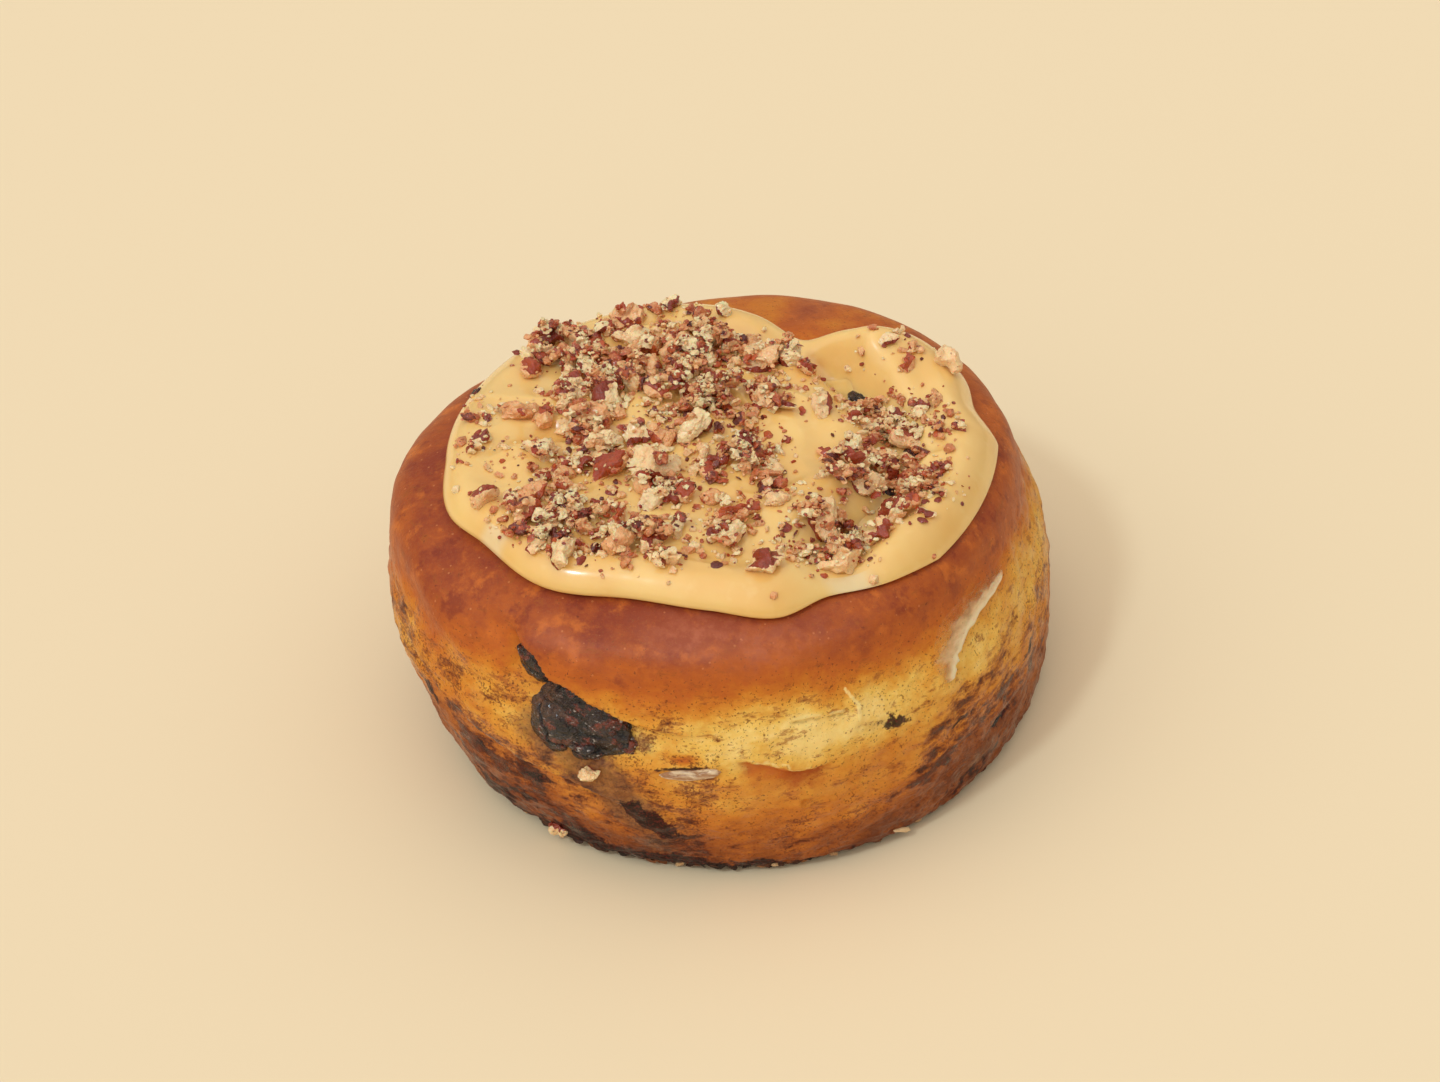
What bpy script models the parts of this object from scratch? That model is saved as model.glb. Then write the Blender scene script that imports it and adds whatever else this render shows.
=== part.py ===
# A chocolate cinnamon roll: dough wound up round a ribbon of chocolate, with caramel icing
# over its crown and chopped pecans stuck in the icing. Metres, +Z up, standing on its flat base.
# Angles are in degrees, anticlockwise from +X seen from above, so -90 is the front.
# The crown's angles and radii are taken about the roll's own leaning axis.

import math
import random

import bmesh
import bpy
import numpy as np
from mathutils import Matrix, Vector

MM = 0.001

# Driving sizes
BELLY = 53.7 * MM  # radius of the dough where it is widest
HEIGHT = 53.5 * MM  # height of the bare dough
CLEAR = 0.3 * MM  # kept between neighbouring pieces
FOOTPRINT_MIDDLE = (-0.3 * MM, 0.5 * MM)  # of the roll as drawn, moved onto the origin

# The dough's outline as shares of the belly and the height, from the middle of the base to the
# top: flat base, base edge, heel, lower side, belly, upper side, shoulder, crown.
OUTLINE = [
    (0, 0),
    (0.79, 0),
    (0.866, 0),
    (0.928, 0.055),
    (0.955, 0.15),
    (0.984, 0.3),
    (1, 0.523),
    (0.955, 0.729),
    (0.911, 0.869),
    (0.762, 0.935),
    (0.484, 0.985),
    (0, 1),
]
BASE_EDGE, SHOULDER, TOP = 2, 8, 11  # places along that outline

# The roll is longer towards its back right and front left, lower at its back left, and its top
# leans to the left.
STRETCH = 0.069
THREE_SIDED = -0.016
LEAN = (-0.177, -0.05)  # sideways move for each metre of height above LEAN_FROM
LEAN_FROM = 28 * MM
BACK_LOW = (130, 45, 0.03)  # angle, spread and share of the height lost there
BACK_LOW_RADII = (10 * MM, 35 * MM)  # between which that comes in

# The seam between the windings: it runs outwards clockwise, a turn wider each time round.
PITCH = 20 * MM  # thickness of one winding
SEAM_AT = (45, 28.6 * MM)  # an angle and the seam's radius there
SEAM_START = 4.5 * MM  # its radius at the roll's heart
TAIL_FROM = -50  # where the last winding starts to thin out
TAIL_END = -121
TAIL_SIDE = 0.96  # share of the belly that the side reaches there
TAIL_INSIDE = 6.5 * MM  # how far inside it the ribbon ends
TAIL_RISE = 12 * MM  # how far the ribbon's lower edge rises under the tail
SEAM_STEP = 12  # degrees between points on the ribbon

# The valley that the seam makes in the crown, deep at the right, shallow elsewhere
VALLEY_DEPTH = 4.6 * MM
VALLEY_WIDTH = 4.6 * MM
VALLEY_FROM, VALLEY_TO = -60, 68
VALLEY_FADE = 13  # degrees over which it starts and ends
SHALLOW = 0.22
HEART = (2 * MM, 8 * MM)  # radii between which anything that turns with the angle fades in

# Lines on the side, as (angle, height in mm)
LIP = [
    (-127, 45.5), (-124, 43.4), (-120, 40.8), (-114.5, 39.9), (-109, 37.4), (-103, 35), (-95, 33.8),
    (-86, 33.5),
]
LOW_FOLD = [
    (-158, 34), (-150, 32), (-143.5, 26.8), (-137, 25.8), (-130, 23), (-120, 21.4), (-112, 19),
    (-105, 13.5),
]
LOBE_VALLEY = [(-149, 49.2), (-141, 48), (-134, 46.5), (-127, 44.5)]
TORN_EDGE = [(-20, 39.6), (-32, 39.8), (-39, 39.3), (-43.5, 36.4), (-46, 32.3)]
LEDGE = [(-87, 27.6), (-81, 27.3), (-76, 24.8), (-71, 25)]
BACK_FOLD = [(160, 31), (140, 27), (118, 24), (98, 27), (80, 33)]

# Edges that stand proud above a line and are set in below it: how proud, how deep, how far they
# reach either side, and the shares of the line over which they fade in and out
STEPS = [
    (LIP, 1 * MM, 2.4 * MM, 7 * MM, 0.35, 0.5),
    (LOW_FOLD, 0.5 * MM, 1.3 * MM, 5 * MM, 0.2, 0.2),
    (LEDGE, 0.3 * MM, 0.9 * MM, 3 * MM, 0.15, 0.15),
    (BACK_FOLD, 0.7 * MM, 1.3 * MM, 5 * MM, 0.2, 0.2),
]
STEP_SOFT = 1.8 * MM  # half the width of the slope under such an edge
LOBE_DENT, LOBE_SPREAD = 1.3 * MM, 3 * MM
TORN_RISE, TORN_SPREAD, TORN_FADE = 1.5 * MM, 1.7 * MM, 0.2
CHUNK_PLACE = (-114, 34 * MM)
CHUNK_HOLLOW, CHUNK_SPREAD = 1.4 * MM, 8 * MM
RELIEF_FROM, RELIEF_FULL = 2 * MM, 9 * MM  # heights between which all of this fades in
TOP_FROM, TOP_FULL = 0.88 * HEIGHT, 0.93 * HEIGHT  # heights where the side takes up the crown's valley

# Filling
RIBBON = 2.2 * MM
RIBBON_SUNK = 0.7 * MM  # below the crown
RIBBON_BURIED = 9 * MM  # below the surface where the tail covers it
RIBBON_LIFT = 0.8 * MM  # above the base, so that the roll stands on its dough
OPEN_ABOVE = 4 * MM  # how far a cutter passes an open face
OPEN_TOP = (-78, -58)  # angles between which the ribbon comes up to the crown
OPEN_BASE = (-96, -76)  # and down to the base
OPEN_SHARE = 0.9  # of that, past which its slot is open

# Chocolate that shows under the lip, as (angle, height in mm, length, width, depth in mm, turn)
CHOCOLATE = [
    (-114.8, 34, 15, 11.5, 9, 75),
    (-121.2, 41.4, 8.5, 5.5, 9, 58),
    (-112, 29.3, 6.5, 5.5, 7, 70),
]
CHOCOLATE_SUNK = 0.3  # share of the depth kept below the surface, past half

# Icing
ICING = 2.5 * MM
ICING_CLEAR = 1.3 * CLEAR  # between the icing and the dough
ICING_EDGE = [
    (-172, 41.4), (-155, 44), (-142, 43), (-123.5, 44.1), (-105, 41.5), (-88, 42.4), (-75, 44.5),
    (-62, 42.5), (-48, 44.2), (-33, 45.7), (-14, 47.6), (2, 48.3), (12.5, 46), (24, 47.4), (34, 45),
    (45, 38), (58, 32.6), (72, 34.2), (90, 37.4), (112, 40.2), (136, 41.2), (160, 40.4),
]  # (angle, radius in mm)
ICING_REACH = 0.9  # share of the belly that it keeps within, so that it ends on the shoulder
BEAD = 1.5 * MM  # how much thicker the rounded rim is
BEAD_IN = 4 * MM
BEAD_WIDTH = 3.2 * MM
EDGE_ROUND = 2.4 * MM
EDGE_LEAST = 0.13  # share of the rim's squared thickness left at its very edge
CONTACT_IN = 1.3 * MM  # the rim overhangs its contact with the dough by this
THIN_AT, THIN_SPREAD, THIN_SHARE = -56, 9, 0.75  # where the rim is only a film
THIN_REACH = 12 * MM
LOBE = (33, 39 * MM, 2.6 * MM, 9 * MM)  # the wave at the back right: angle, radius, rise, spread
PIT = (32, 27 * MM, 1.2 * MM, 4 * MM)  # beside it: angle, radius, depth, spread
VALLEY_THIN = 0.3  # share of the icing missing along the deep valley
STROKE = 0.35 * MM  # height of the soft strokes that the spoon left
STROKE_PITCH = 11 * MM
STROKE_TURN = 1  # how many strokes their spiral moves out by, each time round
STROKE_RIM = (5 * MM, 11 * MM)  # they fade between these distances from the edge

# Pecans
NUT_SEED = 11
NUT_COUNT = 88
NUT_LARGEST, NUT_SMALLEST = 7.4 * MM, 3.6 * MM
NUT_PROUD = 0.3  # share of the thickness that its middle stands above the icing
NUT_SPACING = 0.62  # of two neighbours' mean length
NUT_RIM = 4.5 * MM  # bare width inside the icing's edge
NUT_WIDTHS, NUT_THICKNESSES = (0.5, 0.85), (0.45, 0.7)  # as shares of the length
NUT_TILT = 0.35
NUT_ROUGH, CHOCOLATE_ROUGH = 0.12, 0.05  # shares that their corners stand in or out
NUT_SIZES = 0.8  # how fast they get smaller: 1 is evenly
NUT_LIFT = 3 * CLEAR  # left between a pecan's underside and the dough
SIDE_NUT_SHAPE = (1, 0.8, 0.8)
SIDE_NUT_PROUD = 0.2
# Heaps of pecans on the crown: x, y and spread in mm, and how full they are
HEAPS = [
    (-20, 24, 7, 1), (-7, 28, 7, 0.9), (-14, 12, 7, 0.9), (-3, 13, 7, 0.8), (4, 21, 5, 0.9),
    (14, 17, 4, 0.5), (-16, 0, 6, 0.9), (1, 2, 7, 0.7), (11, 7, 5, 0.5), (8, -9, 5, 0.9),
    (-3, -16, 6, 0.6), (-17, -14, 6, 0.7), (-25, -10, 4, 0.8), (-24, -26, 6, 1), (-10, -30, 6, 0.9),
    (6, -25, 6, 0.9), (20, -27, 6, 1), (30, -13, 6, 1), (36, -12, 5, 0.9), (28, 5, 5, 0.9),
    (37, 3, 4, 0.8), (-33, 5, 6, 0.12), (34, 21, 7, 0.12), (-35, -7, 5, 0.12),
]
# Single large pieces: x, y, length, width, thickness in mm, and turn
LARGE_NUTS = [
    (-24.5, 27, 6.8, 5, 4.2, 10), (7.3, -23.2, 9, 3.4, 3.4, 4), (10.7, -36, 6.6, 5.6, 4, -30),
    (22.6, -36, 8, 5.2, 4.4, -12), (-7, -31.3, 8, 4, 4.4, 25), (-12.4, -32.5, 5.4, 4.6, 4.6, 60),
    (-26.5, -25, 6.4, 4.8, 4.4, -20), (3.8, 19.7, 5.6, 4.8, 4.4, 30), (9.4, 21.6, 6.2, 4.4, 4, 5),
    (7.8, -10.1, 6, 4.8, 4.2, 50), (28.5, -6.7, 6.2, 4.6, 4.4, 80), (18.6, -23.4, 7.4, 5, 4.6, 70),
    (28.7, -25, 5.8, 4.6, 4.4, -40), (-16.8, 18.3, 8, 4.2, 3.6, 35), (-27.7, 15.5, 5, 4, 3.6, -20),
    (-24.8, -9.3, 6.2, 4.6, 4.2, 15), (40.6, 17, 5.6, 4, 4, 60), (-20.7, -34.4, 5.2, 4, 4.2, 75),
    (-1.1, 12.6, 5, 3.8, 3.6, 20), (-6.3, 6.6, 5, 3.8, 3.6, -60),
]
# Pieces baked onto the side: angle, height in mm and size
SIDE_NUTS = [(-127, 3.2, 4.2 * MM), (-114.7, 24.7, 3.6 * MM)]

# Mesh
WELD = 0.004 * MM
COLUMNS = 76
CLOSER = [(-114, 24, 2.4), (-34, 14, 0.8)]  # where columns stand closer: angle, spread, how much
SIDE_RINGS = [0, 0.07, 0.14, 0.22, 0.33, 0.44, 0.52, 0.58, 0.63, 0.68, 0.73, 0.8, 0.89, 1]
CROWN_RINGS = [1, 0.88, 0.76, 0.65, 0.5, 0.25, 0]  # shares of the icing's contact line
ICING_RIM_IN = [4.6 * MM, 2.4 * MM, 1.1 * MM, 0.35 * MM, 0]
ICING_CROWN = [0, 0.15, 0.3, 0.47, 0.6, 0.7, 0.8]


def smooth(start, end, value):
    """0 before start, 1 after end, and an even slope between."""
    share = np.clip((np.asarray(value, float) - start) / (end - start), 0, 1)
    return share * share * (3 - 2 * share)


def bump(value, spread):
    return np.exp(-((np.asarray(value, float) / spread) ** 2))


def turn_apart(angle, other):
    """The turn from one angle to another, in degrees from -180 to 180."""
    return (np.asarray(angle, float) - other + 180) % 360 - 180


def along_spline(points, place):
    """A smooth curve through the points, read at places counted in points."""
    points = np.asarray(points, float)
    ends = np.vstack([2 * points[0] - points[1], points, 2 * points[-1] - points[-2]])
    place = np.clip(np.asarray(place, float), 0, len(points) - 1)
    first = np.minimum(place.astype(int), len(points) - 2)
    t = (place - first)[..., None]
    before, here, after, beyond = (ends[first + step] for step in range(4))
    return 0.5 * (
        2 * here
        + (after - before) * t
        + (2 * before - 5 * here + 4 * after - beyond) * t**2
        + (3 * here - before - 3 * after + beyond) * t**3
    )


def outline_at(place):
    """Radius and height of the dough's outline, before it is stretched."""
    found = along_spline(OUTLINE, place)
    return found[..., 0] * BELLY, found[..., 1] * HEIGHT


CROWN_PLACES = np.linspace(TOP, SHOULDER, 200)
CROWN_RADII, CROWN_HEIGHTS = outline_at(CROWN_PLACES)


def stretch(angle):
    turned = np.radians(angle)
    return 1 + STRETCH * np.sin(2 * turned) + THREE_SIDED * np.cos(3 * turned)


def leaning(angle, radius, height):
    """The point of the roll at an angle and a radius about its leaning axis."""
    turned = np.radians(angle)
    rise = height - LEAN_FROM
    x = radius * np.cos(turned) + LEAN[0] * rise - FOOTPRINT_MIDDLE[0]
    y = radius * np.sin(turned) + LEAN[1] * rise - FOOTPRINT_MIDDLE[1]
    return np.stack(np.broadcast_arrays(x, y, height), axis=-1)


def seam_radius(angle):
    """The seam's radius where the ribbon, followed outwards, stands at this running angle."""
    return SEAM_AT[1] + PITCH * (SEAM_AT[0] - angle) / 360


def tail_radius(angle):
    """The same, with the last stretch turned outwards to end just inside the side."""
    outer = BELLY * stretch(TAIL_END) * TAIL_SIDE - TAIL_INSIDE
    share = smooth(TAIL_FROM, TAIL_END, angle)
    return seam_radius(angle) * (1 - share) + outer * share


def valley(angle, radius):
    """How deep the crown is folded in along the seam."""
    angle = turn_apart(angle, 0)
    deep = smooth(VALLEY_FROM - VALLEY_FADE, VALLEY_FROM + VALLEY_FADE, angle)
    deep = deep * (1 - smooth(VALLEY_TO - VALLEY_FADE, VALLEY_TO + VALLEY_FADE, angle))
    total = deep * bump(radius - seam_radius(angle), VALLEY_WIDTH)
    for turns in (1, 2):
        inner = seam_radius(angle + 360 * turns)
        total = total + SHALLOW * bump(radius - inner, VALLEY_WIDTH) * smooth(0, PITCH / 2, inner)
    return VALLEY_DEPTH * total * smooth(*HEART, radius)


def lowered(angle, radius):
    """The share of its height that the roll keeps here."""
    centre, spread, lost = BACK_LOW
    return 1 - lost * bump(turn_apart(angle, centre), spread) * smooth(*BACK_LOW_RADII, radius)


def crown_height(angle, radius):
    """Height of the bare dough's upper side."""
    plain = np.interp(radius / stretch(angle), CROWN_RADII, CROWN_HEIGHTS)
    return plain * lowered(angle, radius) - valley(angle, radius)


def beside(line, angle, height):
    """Distance from a line drawn on the side, positive above it, and the share of it passed."""
    middle = sum(point[0] for point in line) / len(line)
    arcs = np.radians([point[0] - middle for point in line]) * BELLY
    heights = np.array([point[1] for point in line]) * MM
    arc = np.radians(turn_apart(angle, middle)) * BELLY
    nearest = np.full(np.shape(arc), np.inf)
    signed, passed = np.zeros(np.shape(arc)), np.zeros(np.shape(arc))
    for piece in range(len(line) - 1):
        run, rise = arcs[piece + 1] - arcs[piece], heights[piece + 1] - heights[piece]
        across, up = arc - arcs[piece], height - heights[piece]
        share = np.clip((across * run + up * rise) / (run**2 + rise**2), 0, 1)
        apart = np.hypot(across - share * run, up - share * rise)
        above = np.where(run * up - rise * across >= 0, 1, -1) * math.copysign(1, run)
        closer = apart < nearest
        nearest = np.where(closer, apart, nearest)
        signed = np.where(closer, apart * above, signed)
        passed = np.where(closer, (piece + share) / (len(line) - 1), passed)
    return signed, passed


def step_relief(angle, height, line, hang, depth, reach, fade_in, fade_out):
    """An edge that stands proud above a line and is set in below it."""
    apart, passed = beside(line, angle, height)
    shown = smooth(0, fade_in, passed) * (1 - smooth(1 - fade_out, 1, passed))
    shown = shown * bump(np.minimum(0, apart + reach), reach) * bump(np.maximum(0, apart - reach), reach)
    above = smooth(-STEP_SOFT, STEP_SOFT, apart)
    raised = hang * above * bump(apart, reach)
    lowered = depth * (1 - above) * bump(apart, reach)
    return (raised - lowered) * shown


def side_relief(angle, height):
    """How far the side stands out from the plain outline."""
    relief = sum(step_relief(angle, height, *step) for step in STEPS)
    apart, passed = beside(LOBE_VALLEY, angle, height)
    relief = relief - LOBE_DENT * bump(apart, LOBE_SPREAD)
    apart, passed = beside(TORN_EDGE, angle, height)
    relief = relief + TORN_RISE * bump(apart, TORN_SPREAD) * smooth(0, TORN_FADE, passed)
    chunk_arc = np.radians(turn_apart(angle, CHUNK_PLACE[0])) * BELLY
    apart = np.hypot(chunk_arc, height - CHUNK_PLACE[1])
    relief = relief - CHUNK_HOLLOW * bump(apart, CHUNK_SPREAD)
    return relief * smooth(RELIEF_FROM, RELIEF_FULL, height)


def side_point(angle, place):
    """The dough's surface at an angle and a place along the outline."""
    radius, height = outline_at(place)
    radius = radius * stretch(angle) + side_relief(angle, height)
    on_top = smooth(TOP_FROM, TOP_FULL, height)
    height = height * lowered(angle, radius) - valley(angle, radius) * on_top
    return leaning(angle, radius, height)


def crown_point(angle, radius, above=0.0):
    return leaning(angle, radius, crown_height(angle, radius) + above)


def icing_edge(angle):
    """The icing's radius, on a smooth closed line through its points."""
    angles = [point[0] for point in ICING_EDGE]
    looped = ICING_EDGE[-2:] + ICING_EDGE + ICING_EDGE[:2]
    starts = [angles[-2] - 360, angles[-1] - 360] + angles + [angles[0] + 360, angles[1] + 360]
    angle = (np.asarray(angle, float) - angles[0]) % 360 + angles[0]
    place = np.interp(angle, starts, np.arange(len(starts)))
    drawn = along_spline([(0, point[1] * MM) for point in looped], place)[..., 1]
    return np.minimum(drawn, ICING_REACH * BELLY * stretch(angle))


def spot(angle, radius, centre_angle, centre_radius, spread):
    """A round soft spot on the crown."""
    turned, centre = np.radians(angle), math.radians(centre_angle)
    x = radius * np.cos(turned) - centre_radius * math.cos(centre)
    y = radius * np.sin(turned) - centre_radius * math.sin(centre)
    return bump(np.hypot(x, y), spread)


def icing_thickness(angle, radius):
    inside = icing_edge(angle) - radius
    film = bump(turn_apart(angle, THIN_AT), THIN_SPREAD) * (1 - smooth(0, THIN_REACH, inside))
    bead = BEAD * bump(inside - BEAD_IN, BEAD_WIDTH)
    strokes = STROKE * np.sin(2 * math.pi * radius / STROKE_PITCH + STROKE_TURN * np.radians(angle))
    strokes = strokes * smooth(*HEART, radius) * smooth(*STROKE_RIM, inside)
    wave = LOBE[2] * spot(angle, radius, LOBE[0], LOBE[1], LOBE[3])
    dip = PIT[2] * spot(angle, radius, PIT[0], PIT[1], PIT[3])
    thin = 1 - VALLEY_THIN * valley(angle, radius) / VALLEY_DEPTH
    thickness = (ICING * thin + bead + strokes + wave - dip) * (1 - THIN_SHARE * film)
    rounding = np.sqrt(np.clip(1 - (1 - np.clip(inside / EDGE_ROUND, 0, 1)) ** 2, EDGE_LEAST, 1))
    return thickness * rounding


def icing_point(angle, radius):
    return crown_point(angle, radius, ICING_CLEAR + icing_thickness(angle, radius))


def principled(name, colour, roughness):
    material = bpy.data.materials.new(name)
    material.use_nodes = True
    shader = material.node_tree.nodes["Principled BSDF"]
    shader.inputs["Base Color"].default_value = (*colour, 1)
    shader.inputs["Roughness"].default_value = roughness
    shader.inputs["Metallic"].default_value = 0
    material.diffuse_color = (*colour, 1)
    return material


def wrap_grid(name, rings, material):
    """A closed body whose skin is a grid, its columns running round and its rows from ring to ring."""
    mesh = bmesh.new()
    rows = len(rings) - 1
    bmesh.ops.create_grid(mesh, x_segments=COLUMNS, y_segments=rows, size=1)
    for vert in mesh.verts:
        column = round((vert.co.x + 1) / 2 * COLUMNS) % COLUMNS
        row = round((vert.co.y + 1) / 2 * rows)
        vert.co = rings[row][column]
    bmesh.ops.triangulate(mesh, faces=mesh.faces, quad_method="FIXED")
    bmesh.ops.remove_doubles(mesh, verts=mesh.verts, dist=0.001 * MM)
    bmesh.ops.recalc_face_normals(mesh, faces=mesh.faces)
    return finish(name, mesh, material)


def finish(name, mesh, material):
    data = bpy.data.meshes.new(name)
    mesh.to_mesh(data)
    mesh.free()
    data.shade_smooth()
    data.materials.append(material)
    body = bpy.data.objects.new(name, data)
    bpy.context.scene.collection.objects.link(body)
    return body


def boolean(body, operation, operand):
    """Joins or cuts the body with an object or a whole collection, and applies it."""
    step = body.modifiers.new("cut", "BOOLEAN")
    step.operation = operation
    if isinstance(operand, bpy.types.Collection):
        step.solver = "MANIFOLD"
        step.operand_type = "COLLECTION"
        step.collection = operand
    else:
        step.object = operand
    with bpy.context.temp_override(object=body, active_object=body):
        bpy.ops.object.modifier_apply(modifier=step.name)


def keep_largest_shell(body):
    """Welds what joining left split, fills hollows that it sealed, and drops loose scraps."""
    mesh = bmesh.new()
    mesh.from_mesh(body.data)
    bmesh.ops.remove_doubles(mesh, verts=mesh.verts, dist=WELD)
    waiting, shells = set(mesh.faces), []
    while waiting:
        shell, edge = set(), [waiting.pop()]
        while edge:
            face = edge.pop()
            shell.add(face)
            for neighbour in {f for e in face.edges for f in e.link_faces} & waiting:
                waiting.discard(neighbour)
                edge.append(neighbour)
        shells.append(shell)
    largest = max(shells, key=len)
    scraps = [face for shell in shells if shell is not largest for face in shell]
    bmesh.ops.delete(mesh, geom=scraps, context="FACES")
    mesh.to_mesh(body.data)
    mesh.free()


def contact_radius(angle):
    return icing_edge(angle) - CONTACT_IN


def column_angles():
    """The angles of the columns, once round."""
    fine = np.linspace(-180, 180, 721)
    closeness = 1 + sum(more * bump(turn_apart(fine, at), spread) for at, spread, more in CLOSER)
    counted = np.concatenate([[0], np.cumsum((closeness[1:] + closeness[:-1]) / 2)])
    return np.interp(np.arange(COLUMNS) / COLUMNS * counted[-1], counted, fine)


def dough_rings():
    """Rings from the middle of the base up the side and over the crown."""
    angles = column_angles()
    base_radius = outline_at(BASE_EDGE)[0] * stretch(angles)
    rings = [leaning(angles, base_radius * 0, np.zeros(COLUMNS))]
    last = np.interp(icing_edge(angles) / stretch(angles), CROWN_RADII, CROWN_PLACES)
    for share in SIDE_RINGS:
        rings.append(side_point(angles, BASE_EDGE + (last - BASE_EDGE) * share))
    for share in CROWN_RINGS:
        rings.append(crown_point(angles, contact_radius(angles) * share))
    return rings


def icing_rings():
    """Rings from the icing's top middle out to its rim and back in along the dough."""
    angles = column_angles()
    edge = icing_edge(angles)
    rings = [icing_point(angles, edge * share) for share in ICING_CROWN]
    rings += [icing_point(angles, edge - inside) for inside in ICING_RIM_IN]
    for share in CROWN_RINGS:
        rings.append(crown_point(angles, contact_radius(angles) * share, ICING_CLEAR))
    return rings


def ribbon(name, material, grown):
    """The wound strip of filling, or its cutter where it is grown on every side."""
    turns = (seam_radius(0) - SEAM_START) / PITCH
    angles = np.arange(360 * turns, TAIL_END - SEAM_STEP / 2, -SEAM_STEP)
    radius = tail_radius(angles)
    open_top = smooth(*OPEN_TOP, angles)
    surface = crown_height(angles, np.minimum(radius, contact_radius(angles)))
    top = surface - RIBBON_SUNK * open_top - RIBBON_BURIED * (1 - open_top)
    open_base = smooth(*OPEN_BASE, angles)
    low = RIBBON_LIFT + TAIL_RISE * (1 - open_base)
    if grown:
        top = top + grown + (RIBBON_SUNK + OPEN_ABOVE) * smooth(OPEN_SHARE, 1, open_top)
        low = low - grown - (RIBBON_LIFT + OPEN_ABOVE) * smooth(OPEN_SHARE, 1, open_base)
    half = RIBBON / 2 + grown
    if grown:
        angles[0] += math.degrees(2 * grown / SEAM_START)
        angles[-1] -= math.degrees(2 * grown / BELLY)
    corners = [
        leaning(angles, radius - half, low),
        leaning(angles, radius + half, low),
        leaning(angles, radius + half, top),
        leaning(angles, radius - half, top),
    ]
    mesh = bmesh.new()
    loops = [[mesh.verts.new(corner[i]) for corner in corners] for i in range(len(angles))]
    for here, following in zip(loops, loops[1:]):
        for side in range(4):
            other = (side + 1) % 4
            mesh.faces.new((here[side], here[other], following[other], following[side]))
    mesh.faces.new(loops[0])
    mesh.faces.new(loops[-1])
    bmesh.ops.recalc_face_normals(mesh, faces=mesh.faces)
    return finish(name, mesh, material)


def lump(name, material, matrix, size, subdivisions, rough, draw):
    """An uneven lump: an icosphere with its corners pushed in and out."""
    mesh = bmesh.new()
    bmesh.ops.create_icosphere(mesh, subdivisions=subdivisions, radius=0.5)
    for vert in mesh.verts:
        vert.co *= 1 + rough * draw.uniform(-1, 1)
    bmesh.ops.scale(mesh, verts=mesh.verts, vec=size)
    bmesh.ops.transform(mesh, verts=mesh.verts, matrix=matrix)
    return finish(name, mesh, material)


def facing(point, normal, turn):
    """Stands a piece on a point, its own Z along the normal, turned about it."""
    upright = Vector(normal).to_track_quat("Z", "Y").to_matrix().to_4x4()
    return Matrix.Translation(point) @ upright @ Matrix.Rotation(math.radians(turn), 4, "Z")


def on_side(angle, height, turn, sunk=0.0):
    """A place on the side, facing out, its own Y up the side."""
    place = np.interp(height, *reversed(side_places()))
    point = Vector(side_point(angle, place))
    out = Vector((math.cos(math.radians(angle)), math.sin(math.radians(angle)), 0))
    return facing(point - out * sunk, out, turn)


def side_places():
    places = np.linspace(BASE_EDGE, SHOULDER, 80)
    return places, outline_at(places)[1]


def chocolate_lumps(material, grown):
    """The melted chocolate under the lip, or its cutters where it is grown."""
    draw = random.Random(5)
    made = []
    for index, (angle, height, length, width, depth, turn) in enumerate(CHOCOLATE):
        size = [side * MM + 2 * grown for side in (width, length, depth)]
        where = on_side(angle, height * MM, turn, depth * MM * CHOCOLATE_SUNK)
        made.append(lump(f"lump_{index}", material, where, size, 2, CHOCOLATE_ROUGH, draw))
    return made


def nut_list():
    """Every pecan piece as (x, y, length, width, thickness, turn), the largest first."""
    draw = random.Random(NUT_SEED)
    nuts = [tuple(value * MM for value in nut[:5]) + (nut[5],) for nut in LARGE_NUTS]
    wanted = len(nuts) + NUT_COUNT
    while len(nuts) < wanted:
        share = (len(nuts) - len(LARGE_NUTS)) / NUT_COUNT
        length = (NUT_LARGEST + (NUT_SMALLEST - NUT_LARGEST) * share**NUT_SIZES) * draw.uniform(0.9, 1.1)
        angle, reach = draw.uniform(-180, 180), math.sqrt(draw.random())
        radius = reach * (float(icing_edge(angle)) - NUT_RIM)
        x, y = radius * math.cos(math.radians(angle)), radius * math.sin(math.radians(angle))
        fullness = sum(
            full * math.exp(-(((x / MM - hx) ** 2 + (y / MM - hy) ** 2) / spread**2))
            for hx, hy, spread, full in HEAPS
        )
        size = (length, length * draw.uniform(*NUT_WIDTHS), length * draw.uniform(*NUT_THICKNESSES))
        turn, keep = draw.uniform(0, 360), draw.random()
        crowded = any(
            math.hypot(x - nut[0], y - nut[1]) < NUT_SPACING * (length + nut[2]) / 2 for nut in nuts
        )
        if keep < fullness and not crowded:
            nuts.append((x, y, *size, turn))
    return nuts


def icing_frame(x, y):
    """The icing's surface point and normal over a place on the crown."""
    def height_at(px, py):
        angle, radius = math.degrees(math.atan2(py, px)), math.hypot(px, py)
        return Vector(icing_point(angle, radius))
    step = 0.4 * MM
    point = height_at(x, y)
    normal = (height_at(x + step, y) - point).cross(height_at(x, y + step) - point)
    return point, normal.normalized()


def pecans(material):
    """Chopped pecans as lumps, gathered in a collection of their own."""
    pieces = bpy.data.collections.new("pecans")
    draw = random.Random(NUT_SEED + 1)
    for index, (x, y, length, width, thickness, turn) in enumerate(nut_list()):
        point, normal = icing_frame(x, y)
        tilt = [draw.uniform(-NUT_TILT, NUT_TILT) for axis in range(2)]
        tilted = normal + Vector((*tilt, 0))
        where = facing(point + normal * thickness * NUT_PROUD, tilted.normalized(), turn)
        size = (length, width, thickness)
        piece = lump(f"pecan_{index}", material, where, size, 1, NUT_ROUGH, draw)
        lift_off_dough(piece)
        bpy.context.scene.collection.objects.unlink(piece)
        pieces.objects.link(piece)
    return pieces


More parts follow.
